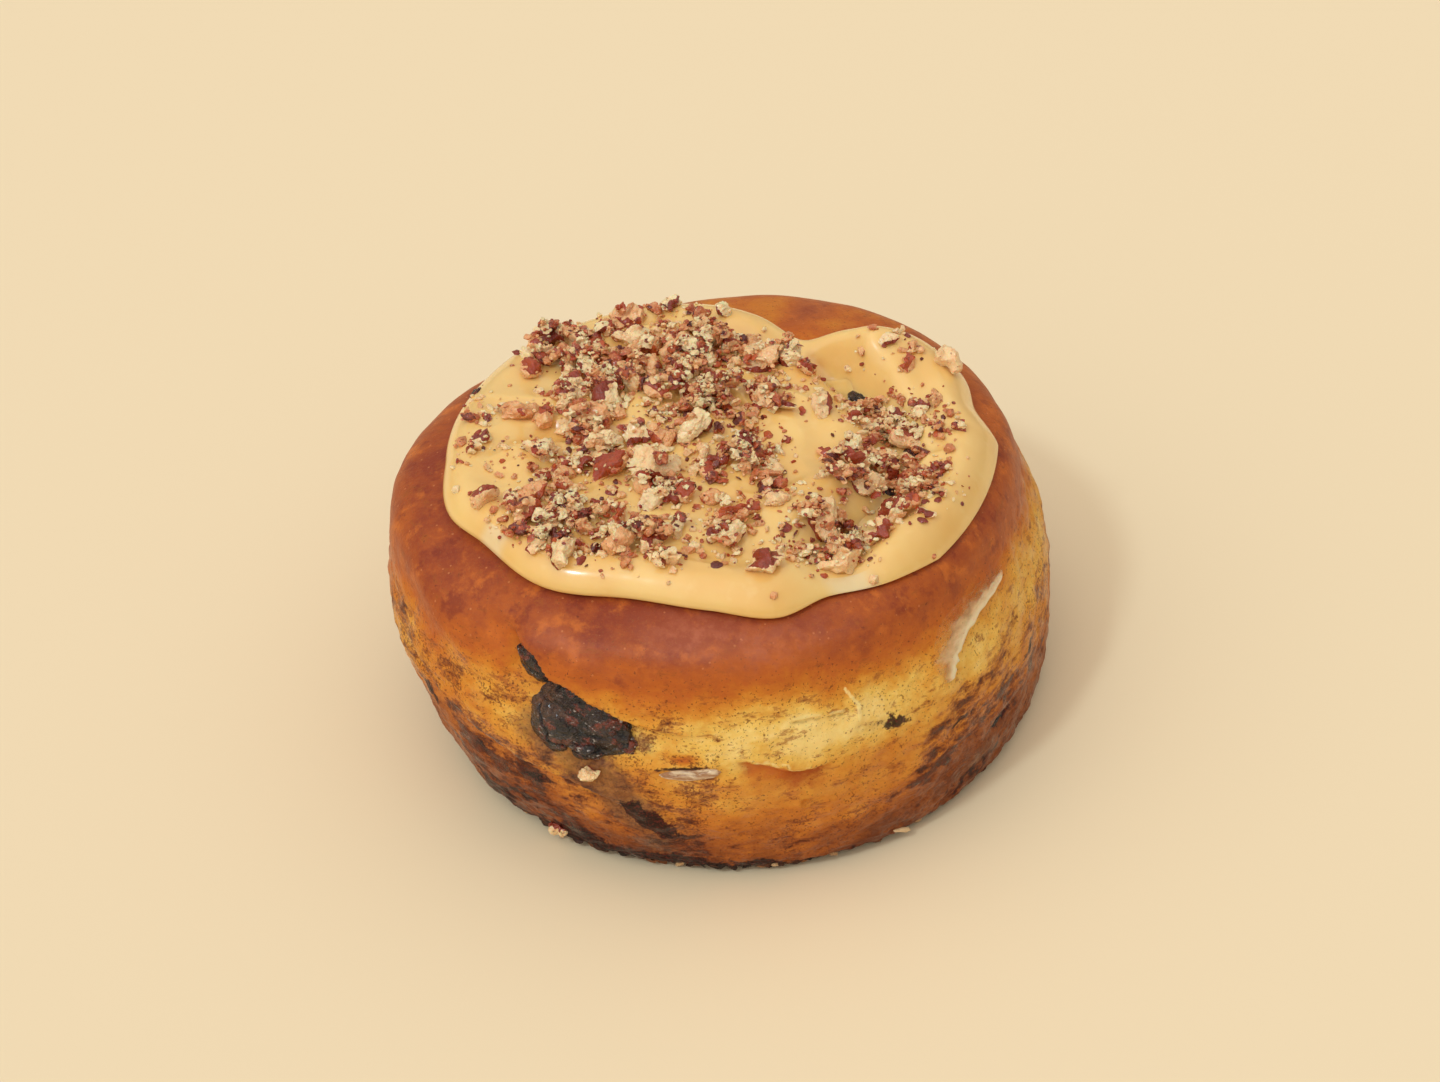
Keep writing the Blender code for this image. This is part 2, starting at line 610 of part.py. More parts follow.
def lift_off_dough(piece):
    """Keeps a pecan's underside within the icing, where it would reach the dough."""
    for vert in piece.data.vertices:
        rise = vert.co.z - LEAN_FROM
        x = vert.co.x + FOOTPRINT_MIDDLE[0] - LEAN[0] * rise
        y = vert.co.y + FOOTPRINT_MIDDLE[1] - LEAN[1] * rise
        angle, radius = math.degrees(math.atan2(y, x)), math.hypot(x, y)
        vert.co.z = max(vert.co.z, float(crown_height(angle, radius)) + NUT_LIFT)


def remove(objects):
    for item in list(objects):
        bpy.data.objects.remove(item)


def make_dough(material):
    dough = wrap_grid("dough", dough_rings(), material)
    draw = random.Random(3)
    nuts = []
    for index, (angle, height, size) in enumerate(SIDE_NUTS):
        where = on_side(angle, height * MM, 0, -size * SIDE_NUT_PROUD)
        shape = [size * side for side in SIDE_NUT_SHAPE]
        nuts.append(lump(f"side_nut_{index}", material, where, shape, 1, NUT_ROUGH, draw))
        boolean(dough, "UNION", nuts[-1])
    cutters = [ribbon("ribbon_cutter", material, CLEAR)] + chocolate_lumps(material, CLEAR)
    for cutter in cutters:
        boolean(dough, "DIFFERENCE", cutter)
    remove(nuts + cutters)
    keep_largest_shell(dough)
    return dough


def make_filling(material):
    filling = ribbon("chocolate_filling", material, 0)
    lumps = chocolate_lumps(material, 0)
    for piece in lumps:
        boolean(filling, "UNION", piece)
    remove(lumps)
    keep_largest_shell(filling)
    return filling


def make_icing(material):
    icing = wrap_grid("caramel_icing", icing_rings(), material)
    pieces = pecans(material)
    boolean(icing, "UNION", pieces)
    remove(pieces.objects)
    bpy.data.collections.remove(pieces)
    keep_largest_shell(icing)
    return icing


def main():
    remove(bpy.data.objects)
    make_dough(principled("baked_dough", (0.55, 0.22, 0.06), 0.5))
    make_filling(principled("chocolate", (0.045, 0.014, 0.007), 0.35))
    make_icing(principled("caramel_icing", (0.82, 0.52, 0.2), 0.3))


main()
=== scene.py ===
import math
import random

import bpy
import numpy as np
from mathutils import Matrix, Vector, noise


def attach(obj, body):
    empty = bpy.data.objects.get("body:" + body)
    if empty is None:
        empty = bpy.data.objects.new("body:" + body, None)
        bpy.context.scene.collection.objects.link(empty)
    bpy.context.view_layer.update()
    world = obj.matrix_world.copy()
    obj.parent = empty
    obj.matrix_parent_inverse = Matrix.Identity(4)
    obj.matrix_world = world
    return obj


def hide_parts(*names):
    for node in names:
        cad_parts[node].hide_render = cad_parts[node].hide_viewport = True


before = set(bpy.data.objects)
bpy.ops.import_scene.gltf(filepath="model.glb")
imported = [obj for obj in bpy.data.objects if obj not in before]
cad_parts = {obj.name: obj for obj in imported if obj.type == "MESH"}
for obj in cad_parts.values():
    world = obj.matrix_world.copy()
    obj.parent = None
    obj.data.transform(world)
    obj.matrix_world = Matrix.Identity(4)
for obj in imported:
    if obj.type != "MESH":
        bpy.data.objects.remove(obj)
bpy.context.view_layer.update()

mm = 0.001

# A chocolate cinnamon roll: browned dough wound round chocolate, caramel icing, chopped pecans.
# Angles are degrees seen from above, -90 at the front. The roll leans, so its angles and radii
# are taken about its own leaning axis. Heights and sizes in the tables of marks are in mm.

rollShape = {
    "belly": 53.7 * mm,  # widest radius
    "height": 53.5 * mm,  # of the bare dough
    "outline": [
        (0, 0), (0.79, 0), (0.866, 0), (0.928, 0.055), (0.955, 0.15), (0.984, 0.3), (1, 0.523),
        (0.955, 0.729), (0.911, 0.869), (0.762, 0.935), (0.484, 0.985), (0, 1),
    ],  # shares of belly and height, from the middle of the base to the top
    "baseEdge": 2,  # places along the outline
    "shoulder": 8,
    "top": 11,
    "stretch": 0.069,
    "threeSided": -0.016,
    "lean": (-0.177, -0.05),  # sideways for each metre up
    "leanFrom": 28 * mm,
    "middle": (-0.3 * mm, 0.5 * mm),
    "backLow": (130, 45, 0.03),  # angle, spread, share of the height lost
    "lowFrom": (10 * mm, 35 * mm),  # radii over which that loss grows
    "turnsIn": (0.88, 0.93),  # shares of the height over which the side becomes the crown
}

seamShape = {
    "pitch": 20 * mm,  # thickness of one winding
    "at": (45, 28.6 * mm),  # an angle and the seam's radius there
    "start": 4.5 * mm,
    "tail": (-50, -121),  # where the last winding thins out and ends
    "tailInside": 6.5 * mm,
    "tailShare": 0.96,  # of the belly's radius, from which that is measured
    "valleyDepth": 4.6 * mm,
    "valleyWidth": 4.6 * mm,
    "valley": (-60, 68, 13),  # from, to, and the fade at either end
    "shallow": 0.22,
    "heart": (2 * mm, 8 * mm),
}

# lines on the side, as (angle, height)
sideLines = {
    "lip": [
        (-127, 46.2), (-124, 45.4), (-120.6, 44), (-119.4, 41.4), (-118.4, 40), (-115.5, 39.4),
        (-112, 37.2), (-108, 35.6), (-103, 34.4), (-95, 33.6), (-86, 33.5),
    ],
    "lowFold": [
        (-158, 34), (-150, 32), (-143.5, 26.8), (-137, 25.8), (-130, 23), (-120, 21.4),
        (-112, 19), (-105, 13.5),
    ],
    "lobe": [(-149, 49.2), (-141, 48), (-134, 46.5), (-127, 44.5)],
    "ledge": [(-90, 28.4), (-86.5, 28.5), (-84.5, 27.6), (-81, 26), (-79, 25), (-75.5, 24.8), (-71, 25.4)],
    "back": [(160, 31), (140, 27), (118, 24), (98, 27), (80, 33)],
    "crack": [(-78.2, 34.3), (-76, 34), (-73.8, 34), (-71.6, 33.6), (-69.4, 33.5), (-67.2, 33.1)],
    "flake": [(-66.5, 37.4), (-65, 34.3), (-65.6, 31.6)],
    "innerSeam": [(-150, 31), (-143, 26), (-137, 25), (-130, 22.4), (-121, 20.8), (-113, 18.6)],
    "flap": [
        (-19, 38.2), (-25, 38.9), (-31, 39), (-37, 38.6), (-41.5, 37.2), (-44.3, 35), (-45.6, 32.6),
        (-46, 30.4),
    ],
}


def smooth(start, end, value):
    share = np.clip((np.asarray(value, float) - start) / (end - start), 0, 1)
    return share * share * (3 - 2 * share)


def bump(value, spread):
    return np.exp(-((np.asarray(value, float) / spread) ** 2))


def turnApart(angle, other):
    return (np.asarray(angle, float) - other + 180) % 360 - 180


def alongSpline(points, place):
    points = np.asarray(points, float)
    ends = np.vstack([2 * points[0] - points[1], points, 2 * points[-1] - points[-2]])
    place = np.clip(np.asarray(place, float), 0, len(points) - 1)
    first = np.minimum(place.astype(int), len(points) - 2)
    t = (place - first)[..., None]
    before, here, after, beyond = (ends[first + step] for step in range(4))
    bend = 2 * before - 5 * here + 4 * after - beyond
    twist = 3 * here - before - 3 * after + beyond
    return 0.5 * (2 * here + (after - before) * t + bend * t**2 + twist * t**3)


def outlineAt(place):
    found = alongSpline(rollShape["outline"], place)
    return found[..., 0] * rollShape["belly"], found[..., 1] * rollShape["height"]


crownPlaces = np.linspace(rollShape["top"], rollShape["shoulder"], 200)
crownRadii, crownHeights = outlineAt(crownPlaces)


def stretchAt(angle):
    turned = np.radians(angle)
    return 1 + rollShape["stretch"] * np.sin(2 * turned) + rollShape["threeSided"] * np.cos(3 * turned)


def polar(angle, radius):
    turned = np.radians(angle)
    return radius * np.cos(turned), radius * np.sin(turned)


def outwards(angle):
    x, y = polar(angle, 1)
    return np.stack([x, y, 0 * x], -1)


def leaned(x, y, height):
    # from places about the leaning axis to the roll's own x and y
    rise = height - rollShape["leanFrom"]
    (leanX, leanY), (middleX, middleY) = rollShape["lean"], rollShape["middle"]
    return x + leanX * rise - middleX, y + leanY * rise - middleY


def leaning(angle, radius, height):
    x, y = leaned(*polar(angle, radius), height)
    return np.stack(np.broadcast_arrays(x, y, height), axis=-1)


def seamRadius(angle):
    return seamShape["at"][1] + seamShape["pitch"] * (seamShape["at"][0] - angle) / 360


def tailRadius(angle):
    begins, ends = seamShape["tail"]
    outer = rollShape["belly"] * stretchAt(ends) * seamShape["tailShare"] - seamShape["tailInside"]
    share = smooth(begins, ends, angle)
    return seamRadius(angle) * (1 - share) + outer * share


def valleyAt(angle, radius):
    angle = turnApart(angle, 0)
    begins, ends, fade = seamShape["valley"]
    deep = smooth(begins - fade, begins + fade, angle) * (1 - smooth(ends - fade, ends + fade, angle))
    total = deep * bump(radius - seamRadius(angle), seamShape["valleyWidth"])
    for turns in (1, 2):
        inner = seamRadius(angle + 360 * turns)
        groove = bump(radius - inner, seamShape["valleyWidth"])
        total = total + seamShape["shallow"] * groove * smooth(0, seamShape["pitch"] / 2, inner)
    return seamShape["valleyDepth"] * total * smooth(*seamShape["heart"], radius)


def loweredAt(angle, radius):
    centre, spread, lost = rollShape["backLow"]
    return 1 - lost * bump(turnApart(angle, centre), spread) * smooth(*rollShape["lowFrom"], radius)


def crownHeight(angle, radius):
    plain = np.interp(radius / stretchAt(angle), crownRadii, crownHeights)
    return plain * loweredAt(angle, radius) - valleyAt(angle, radius)


def crownPoint(angle, radius, above=0.0):
    return leaning(angle, radius, crownHeight(angle, radius) + above)


def arcFrom(angle, centre):
    # how far round the belly an angle is from another
    return np.radians(turnApart(angle, centre)) * rollShape["belly"]


def beside(line, angle, height):
    # distance from a line on the side, positive above it, and the share of the line passed
    middle = sum(point[0] for point in line) / len(line)
    arcs = [float(arcFrom(point[0], middle)) for point in line]
    heights = [point[1] * mm for point in line]
    arc = arcFrom(angle, middle)
    nearest = np.full(np.shape(arc), np.inf)
    signed, passed = np.zeros(np.shape(arc)), np.zeros(np.shape(arc))
    for piece in range(len(line) - 1):
        run, rise = arcs[piece + 1] - arcs[piece], heights[piece + 1] - heights[piece]
        across, up = arc - arcs[piece], height - heights[piece]
        share = np.clip((across * run + up * rise) / (run**2 + rise**2), 0, 1)
        apart = np.hypot(across - share * run, up - share * rise)
        above = np.where(run * up - rise * across >= 0, 1, -1) * math.copysign(1, run)
        closer = apart < nearest
        nearest = np.where(closer, apart, nearest)
        signed = np.where(closer, apart * above, signed)
        passed = np.where(closer, (piece + share) / (len(line) - 1), passed)
    return signed, passed


def oval(angle, height, centreAngle, centreHeight, wide, tall, turn=0.0):
    # 1 in the middle of an oval patch on the side, 0.37 at its edge
    across = arcFrom(angle, centreAngle)
    up = height - centreHeight * mm
    c, s = math.cos(math.radians(turn)), math.sin(math.radians(turn))
    a, b = (across * c + up * s) / (wide * mm), (up * c - across * s) / (tall * mm)
    return np.exp(-(a**2 + b**2))


def ovals(angle, height, rows):
    # the sum of several oval patches, each with its strength last
    return sum(row[-1] * oval(angle, height, *row[:-1]) for row in rows)


def grainAt(points, size, shift=0.0):
    flat = (points.reshape(-1, 3) / size + shift).tolist()
    return np.array([noise.noise(spot) for spot in flat]).reshape(points.shape[:-1])


# steps in the side, in mm: proud, set in, reach, fade in, fade out, half width of the slope
reliefSteps = {
    "lip": (1.2, 2.6, 7, 0.16, 0.4, 0.7),
    "lowFold": (0.9, 1.7, 5, 0.2, 0.2, 0.9),
    "ledge": (0.4, 0.8, 3, 0.15, 0.15, 0.45),
    "back": (0.7, 1.3, 5, 0.2, 0.2, 1.6),
}

# ridges, or grooves below nought: rise and half width in mm, and the share over which it fades in
reliefRidges = {
    "lobe": (-1.3, 3, 0),
    "flap": (0.5, 2.4, 0.3),
    "flake": (0.4, 0.5, 0.3),
    "innerSeam": (-0.7, 0.8, 0),
}

# patches that stand proud or, below nought, are set in: angle, height, width, height, turn, rise
reliefSpots = [
    (-114, 34, 8, 8, 0, -1.4),
    (-96.8, 25.7, 5, 1.3, 8, -1.3),  # syrup pit
    (-96.8, 27.7, 5.5, 0.9, 8, 0.5),
    (-59, 28.8, 2.4, 1.2, -25, 0.5),
    (-30, 12.4, 5, 0.9, 6, -1.3),
    (-61, 35, 3, 1.8, 20, -0.5),
    (-105, 14.5, 5.5, 2.2, -52, 0.5),
    (-140, 41, 9, 3, -20, 0.6),
    (-152, 40, 4, 3, 10, -0.5),
]

# the fine crack, with a bridge of dough across it, and a burst blister
crackShape = {
    "rim": (0.8, 0.5, 0.25),  # distance from the crack, spread and rise, in mm
    "groove": (0.4, 0.35),  # spread and depth in mm
    "fade": 0.12,
    "bridge": (0.6, 0.06),  # place and spread, as shares of its length
}
blister = {
    "at": (-78.4, 18),  # angle and height
    "ring": (1.1, 0.35, 0.35),  # radius, spread and rise in mm
    "hollow": (0.8, 0.4),  # spread and depth in mm
}


def fadedEnds(passed, first, last):
    # 0 at either end of a line and 1 between them
    return smooth(0, first, passed) * (1 - smooth(1 - last, 1, passed))


def stepRelief(angle, height, name):
    # an edge that stands proud above a line and is set in below it
    hang, depth, reach, fadeIn, fadeOut, soft = reliefSteps[name]
    apart, passed = beside(sideLines[name], angle, height)
    apart = apart / mm
    shown = fadedEnds(passed, fadeIn, fadeOut)
    shown = shown * bump(np.minimum(0, apart + reach), reach) * bump(np.maximum(0, apart - reach), reach)
    above = smooth(-soft, soft, apart)
    return (hang * above - depth * (1 - above)) * bump(apart, reach) * shown * mm


def ridgeRelief(angle, height, name):
    rise, wide, fade = reliefRidges[name]
    apart, passed = beside(sideLines[name], angle, height)
    shown = smooth(0, fade, passed) if fade else 1
    return rise * mm * bump(apart, wide * mm) * shown


def crackAt(angle, height, fade):
    # the distance from the crack in mm, and how open it is there along its length
    apart, passed = beside(sideLines["crack"], angle, height)
    bridge, spread = crackShape["bridge"]
    return apart / mm, fadedEnds(passed, fade, fade) * (1 - bump(passed - bridge, spread))


def crackRelief(angle, height):
    apart, opened = crackAt(angle, height, crackShape["fade"])
    away, spread, rise = crackShape["rim"]
    wide, depth = crackShape["groove"]
    return opened * (rise * bump(apart - away, spread) - depth * bump(apart, wide)) * mm


def blisterRelief(angle, height):
    atAngle, atHeight = blister["at"]
    apart = np.hypot(arcFrom(angle, atAngle) / mm, height / mm - atHeight)
    radius, spread, rise = blister["ring"]
    wide, depth = blister["hollow"]
    return (rise * bump(apart - radius, spread) - depth * bump(apart, wide)) * mm


def sideRelief(angle, height):
    relief = sum(stepRelief(angle, height, name) for name in reliefSteps)
    relief = relief + sum(ridgeRelief(angle, height, name) for name in reliefRidges)
    relief = relief + ovals(angle, height, reliefSpots) * mm
    relief = relief + crackRelief(angle, height) + blisterRelief(angle, height)
    return relief * smooth(1 * mm, 6 * mm, height)


def sidePoint(angle, place):
    radius, height = outlineAt(place)
    radius = radius * stretchAt(angle) + sideRelief(angle, height)
    onTop = smooth(*rollShape["turnsIn"], height / rollShape["height"])
    height = height * loweredAt(angle, radius) - valleyAt(angle, radius) * onTop
    return leaning(angle, radius, height)


# unevenness of the crust: its size, its rise and where in the noise it starts, sizes in mm
crustShape = {
    "swells": (10, 0.5, 0.0),
    "dimples": (4, 0.14, 3.0),
    "ripples": (3.4, 0.36, 5.0),
    "creases": (2, 0.34, 7.0),
    "crumbs": (1.3, 0.5, 9.0),
    "flat": 1.9,  # how much wider than high the ripples are
    "sticky": (35, 44),  # heights where the ripples end
    "foot": (1, 6),  # heights where the crumbs end
    "shoulder": (46, 50),  # heights where all of it ends
}


def unevenAt(points, name):
    size, rise, start = crustShape[name]
    return grainAt(points, size * mm, start) * rise * mm


def below(name, height):
    low, high = crustShape[name]
    return 1 - smooth(low * mm, high * mm, height)


def crustPoint(angle, place):
    # the side with the crust's own unevenness: swells, sticky ripples and a rough foot
    side = sidePoint(angle, place)
    height = side[..., 2]
    lying = side * np.array([1, 1, crustShape["flat"]])
    ripples = unevenAt(lying, "ripples") - np.abs(unevenAt(lying, "creases"))
    rough = unevenAt(side, "swells") + unevenAt(side, "dimples") + ripples * below("sticky", height)
    rough = rough + unevenAt(side, "crumbs") * below("foot", height)
    keep = smooth(0, 1.5 * mm, height) * below("shoulder", height)
    return side + outwards(angle + 0 * height) * (rough * keep)[..., None]


sidePlaces = np.linspace(rollShape["baseEdge"], rollShape["shoulder"], 120)
sideHeights = outlineAt(sidePlaces)[1]


def onSide(angle, height, turn=0.0, proud=0.0):
    # a place on the side, its Z straight out and its Y up the side
    place = np.interp(height * mm, sideHeights, sidePlaces)
    point = Vector(crustPoint(np.array([[angle]], float), np.array([[place]]))[0, 0])
    out = Vector((math.cos(math.radians(angle)), math.sin(math.radians(angle)), 0))
    return facing(point + out * proud * mm, out, turn)


def facing(point, normal, turn):
    upright = Vector(normal).to_track_quat("Z", "Y").to_matrix().to_4x4()
    return Matrix.Translation(point) @ upright @ Matrix.Rotation(math.radians(turn), 4, "Z")


# icing surface

icingShape = {
    "thickness": 2.5 * mm,
    "clear": 0.39 * mm,  # above the dough
    "edge": [
        (-172, 41.4), (-155, 44), (-142, 43), (-123.5, 44.1), (-105, 41.5), (-88, 42.4),
        (-75, 44.5), (-62, 42.5), (-48, 44.2), (-33, 45.7), (-14, 47.6), (2, 48.3), (12.5, 46),
        (24, 47.4), (34, 45), (45, 38), (58, 32.6), (72, 34.2), (90, 37.4), (112, 40.2),
        (136, 41.2), (160, 40.4),
    ],  # angle, radius in mm
    "bead": (1.5 * mm, 4 * mm, 3.2 * mm),  # how much thicker, how far in, how wide
    "edgeRound": 2.4 * mm,
    "contactIn": 1.3 * mm,
    "thin": (-56, 9, 0.75, 12 * mm),  # angle, spread, share missing, reach
    # a swell and a pit: angle, radius, rise, spread
    "spots": [(33, 39 * mm, 2.6 * mm, 9 * mm), (32, 27 * mm, -1.2 * mm, 4 * mm)],
    "valleyThin": 0.3,
    "stroke": (0.35 * mm, 11 * mm),  # height and pitch of the spoon's strokes
    "strokesEnd": (5 * mm, 11 * mm),  # how far in from the edge they fade
    "rimLeast": 0.13,
    "leastFolded": 0.3,  # share of the thickness that the deepest fold leaves
    # the folds that the spoon left, in mm: size, rise and start of creases, swells and dimples
    "creases": (11, 2.1, 4.0),
    "soft": (12, 0.7, 2.0),
    "dimples": (4, 0.16, 6.0),
    "bend": (20, 4, 2.0),  # how the creases wander
    "sunk": 0.6,
    "foldsEnd": (2.4 * mm, 9 * mm),  # how far in from the edge they fade
    # single swells and hollows: x, y, spread and rise in mm
    "swells": [
        (22, 19, 3.6, -2.2), (28, 25, 5, 2), (15, 28, 4.5, 1.4), (27.5, 14, 3.5, -1.8),
        (-32, 12, 4.5, 1.1), (-28, 5, 3, -1.1), (-36, 2, 5, 0.8), (-1, 26, 4, 1),
    ],
}


def icingEdge(angle):
    edge = icingShape["edge"]
    angles = [point[0] for point in edge]
    looped = edge[-2:] + edge + edge[:2]
    starts = [angles[-2] - 360, angles[-1] - 360] + angles + [angles[0] + 360, angles[1] + 360]
    angle = (np.asarray(angle, float) - angles[0]) % 360 + angles[0]
    place = np.interp(angle, starts, np.arange(len(starts)))
    drawn = alongSpline([(0, point[1] * mm) for point in looped], place)[..., 1]
    return np.minimum(drawn, 0.9 * rollShape["belly"] * stretchAt(angle))


def spotOn(angle, radius, centreAngle, centreRadius, rise, spread):
    x, y = polar(angle, radius)
    centreX, centreY = polar(centreAngle, centreRadius)
    return rise * bump(np.hypot(x - centreX, y - centreY), spread)


def icingThickness(angle, radius, rounded=True):
    inside = icingEdge(angle) - radius
    at, spread, missing, reach = icingShape["thin"]
    film = bump(turnApart(angle, at), spread) * (1 - smooth(0, reach, inside))
    rise, beadIn, width = icingShape["bead"]
    bead = rise * bump(inside - beadIn, width)
    high, pitch = icingShape["stroke"]
    strokes = high * np.sin(2 * math.pi * radius / pitch + np.radians(angle))
    strokes = strokes * smooth(*seamShape["heart"], radius) * smooth(*icingShape["strokesEnd"], inside)
    spots = sum(spotOn(angle, radius, *spot) for spot in icingShape["spots"])
    thin = 1 - icingShape["valleyThin"] * valleyAt(angle, radius) / seamShape["valleyDepth"]
    thickness = (icingShape["thickness"] * thin + bead + strokes + spots) * (1 - missing * film)
    if not rounded:
        return thickness
    share = np.clip(inside / icingShape["edgeRound"], 0, 1)
    return thickness * np.sqrt(np.clip(1 - (1 - share) ** 2, icingShape["rimLeast"], 1))


def foldsAt(angle, radius):
    # soft folds with a crease on one side, as the spoon left them
    shape = icingShape
    x, y = polar(np.asarray(angle, float), np.asarray(radius, float))
    flat = np.stack([x, y, 0 * x], -1)
    size, far, start = shape["bend"]
    bent = flat + far * mm * grainAt(flat, size * mm, start)[..., None]
    size, high, start = shape["creases"]
    rise = (0.5 - np.abs(grainAt(bent * np.array([0.7, 1.3, 0]), size * mm, start))) * high
    for size, high, start in (shape["soft"], shape["dimples"]):
        rise = rise + grainAt(flat, size * mm, start) * high
    for foldX, foldY, spread, high in shape["swells"]:
        rise = rise + high * bump(np.hypot(x / mm - foldX, y / mm - foldY), spread)
    return (rise - shape["sunk"]) * mm * smooth(*shape["foldsEnd"], icingEdge(angle) - radius)


def foldedThickness(angle, radius, rounded=True):
    thickness = icingThickness(angle, radius, rounded)
    return np.maximum(thickness + foldsAt(angle, radius), icingShape["leastFolded"] * thickness)


def icingPoint(angle, radius):
    return crownPoint(angle, radius, icingShape["clear"] + foldedThickness(angle, radius))


def icingFrame(x, y):
    def over(px, py):
        return Vector(icingPoint(math.degrees(math.atan2(py, px)), math.hypot(px, py)))
    step = 0.4 * mm
    point = over(x, y)
    normal = (over(x + step, y) - point).cross(over(x, y + step) - point)
    return point, normal.normalized()


# shader helper

class Wire:
    # one socket of a material, so that shader sums read as sums
    def __init__(self, tree, socket):
        self.tree = tree
        self.socket = socket

    def node(self, kind, output, inputs=(), **settings):
        made = self.tree.nodes.new(kind)
        for name, value in settings.items():
            setattr(made, name, value)
        for name, value in dict(inputs).items():
            if isinstance(value, Wire):
                self.tree.links.new(value.socket, made.inputs[name])
            else:
                made.inputs[name].default_value = value
        return Wire(self.tree, made.outputs[output])

    def sums(self, operation, first, second=0.0, clamp=False):
        return self.node("ShaderNodeMath", 0, {0: first, 1: second}, operation=operation, use_clamp=clamp)

    def __add__(self, other):
        return self.sums("ADD", self, other)

    def __radd__(self, other):
        return self.sums("ADD", other, self)

    def __sub__(self, other):
        return self.sums("SUBTRACT", self, other)

    def __rsub__(self, other):
        return self.sums("SUBTRACT", other, self)

    def __mul__(self, other):
        return self.sums("MULTIPLY", self, other)

    def __rmul__(self, other):
        return self.sums("MULTIPLY", other, self)

    def clamped(self):
        return self.sums("ADD", self, 0.0, clamp=True)

    def between(self, low, high):
        # 0 below low, 1 above high, smooth between them
        sizes = {"Value": self, "From Min": low, "From Max": high}
        return self.node("ShaderNodeMapRange", 0, sizes, interpolation_type="SMOOTHSTEP")

    def under(self, *coats):
        # this colour with others over it, each as (where it lies, how strong, the colour)
        colour = self
        for where, strength, over in coats:
            colour = (where * strength).mix(colour, over)
        return colour

    def mix(self, first, second):
        # two colours, mixed by this value
        return self.node("ShaderNodeMix", 2, {0: self, 6: first, 7: second}, data_type="RGBA")

    def scaled(self, x, y, z):
        return self.node("ShaderNodeVectorMath", 0, {0: self, 1: (x, y, z)}, operation="MULTIPLY")

    def grain(self, size, detail=2.0, rough=0.5):
        # noise of this size in metres
        sizes = {"Vector": self, "Scale": 1 / size, "Detail": detail, "Roughness": rough}
        return self.node("ShaderNodeTexNoise", "Fac", sizes)

    def dots(self, size, share, edge=0.3):
        # round specks, one in each cell of this size, in this share of the cells
        made = self.node("ShaderNodeTexVoronoi", "Distance", {"Vector": self, "Scale": 1 / size})
        drawn = Wire(self.tree, made.socket.node.outputs["Color"])
        chance = drawn.node("ShaderNodeSeparateColor", 0, {0: drawn})
        return (1 - made.between(edge * 0.55, edge)) * (share - chance).between(0.0, 0.04)

    def flecks(self, size, amount):
        # ragged flecks, a few where amount is 0 and most of the surface where it is 1
        return (self.grain(size, 3, 0.6) + amount * 0.3).between(0.71, 0.76)

    def ramp(self, stops):
        made = self.tree.nodes.new("ShaderNodeValToRGB")
        self.tree.links.new(self.socket, made.inputs["Fac"])
        points = made.color_ramp.elements
        while len(points) < len(stops):
            points.new(0.5)
        for point, (place, colour) in zip(points, stops):
            point.position = place
            point.color = colour
        return Wire(self.tree, made.outputs["Color"])

    def reads(self, name):
        return self.node("ShaderNodeAttribute", "Fac", (), attribute_name=name)


def paint(red, green, blue):
    # a colour as seen on a screen, 0 to 255, made linear
    def linear(value):
        value /= 255
        return value / 12.92 if value <= 0.04045 else ((value + 0.055) / 1.055) ** 2.4
    return (linear(red), linear(green), linear(blue), 1)


def startFinish(name, **constants):
    material = bpy.data.materials.new(name)
    material.use_nodes = True
    tree = material.node_tree
    shader = tree.nodes["Principled BSDF"]
    for socket, value in constants.items():
        shader.inputs[socket.replace("_", " ")].default_value = value
    place = Wire(tree, tree.nodes.new("ShaderNodeTexCoord").outputs["Object"])
    return material, shader, place


def drive(shader, socket, wire):
    wire.tree.links.new(wire.socket, shader.inputs[socket])


def bumped(shader, height, distance, strength=1.0):
    sizes = {"Height": height, "Distance": distance, "Strength": strength}
    drive(shader, "Normal", height.node("ShaderNodeBump", 0, sizes))


# mesh helpers

def added(primitive, **sizes):
    # adds a primitive on its own and gives it back
    bpy.ops.object.select_all(action="DESELECT")
    primitive(**sizes)
    return bpy.context.active_object


def applied(piece, kind, **settings):
    # adds a modifier to the active piece and applies it
    change = piece.modifiers.new("change", kind)
    for name, value in settings.items():
        setattr(change, name, value)
    bpy.ops.object.modifier_apply(modifier=change.name)


def wrappedGrid(name, places, marks=None):
    # a grid primitive whose columns run round and whose rows lie on the rings given
    rows, columns = places.shape[:2]
    piece = added(bpy.ops.mesh.primitive_grid_add, x_subdivisions=columns, y_subdivisions=rows - 1, size=2)
    piece.name = piece.data.name = name
    flat = pointsOf(piece)
    column = np.rint((flat[:, 0] + 1) / 2 * columns).astype(int) % columns
    row = np.rint((flat[:, 1] + 1) / 2 * (rows - 1)).astype(int)
    piece.data.vertices.foreach_set("co", places[row, column].ravel())
    for mark, values in (marks or {}).items():
        addMark(piece, mark, values[row, column].ravel())
    closeUp(piece)
    return piece


def addMark(piece, mark, values):
    layer = piece.data.attributes.new(mark, "FLOAT", "POINT")
    layer.data.foreach_set("value", np.asarray(values, np.float32))


def closeUp(piece):
    # merges what touches and turns every face outwards
    pick(piece)
    bpy.ops.object.mode_set(mode="EDIT")
    bpy.ops.mesh.select_all(action="SELECT")
    bpy.ops.mesh.remove_doubles(threshold=0.002 * mm)
    bpy.ops.mesh.normals_make_consistent(inside=False)
    bpy.ops.object.mode_set(mode="OBJECT")
    bpy.ops.object.shade_smooth()


def pick(piece):
    bpy.ops.object.select_all(action="DESELECT")
    bpy.context.view_layer.objects.active = piece
    piece.select_set(True)


def pointsOf(piece):
    points = np.empty(len(piece.data.vertices) * 3)
    piece.data.vertices.foreach_get("co", points)
    return points.reshape(-1, 3)


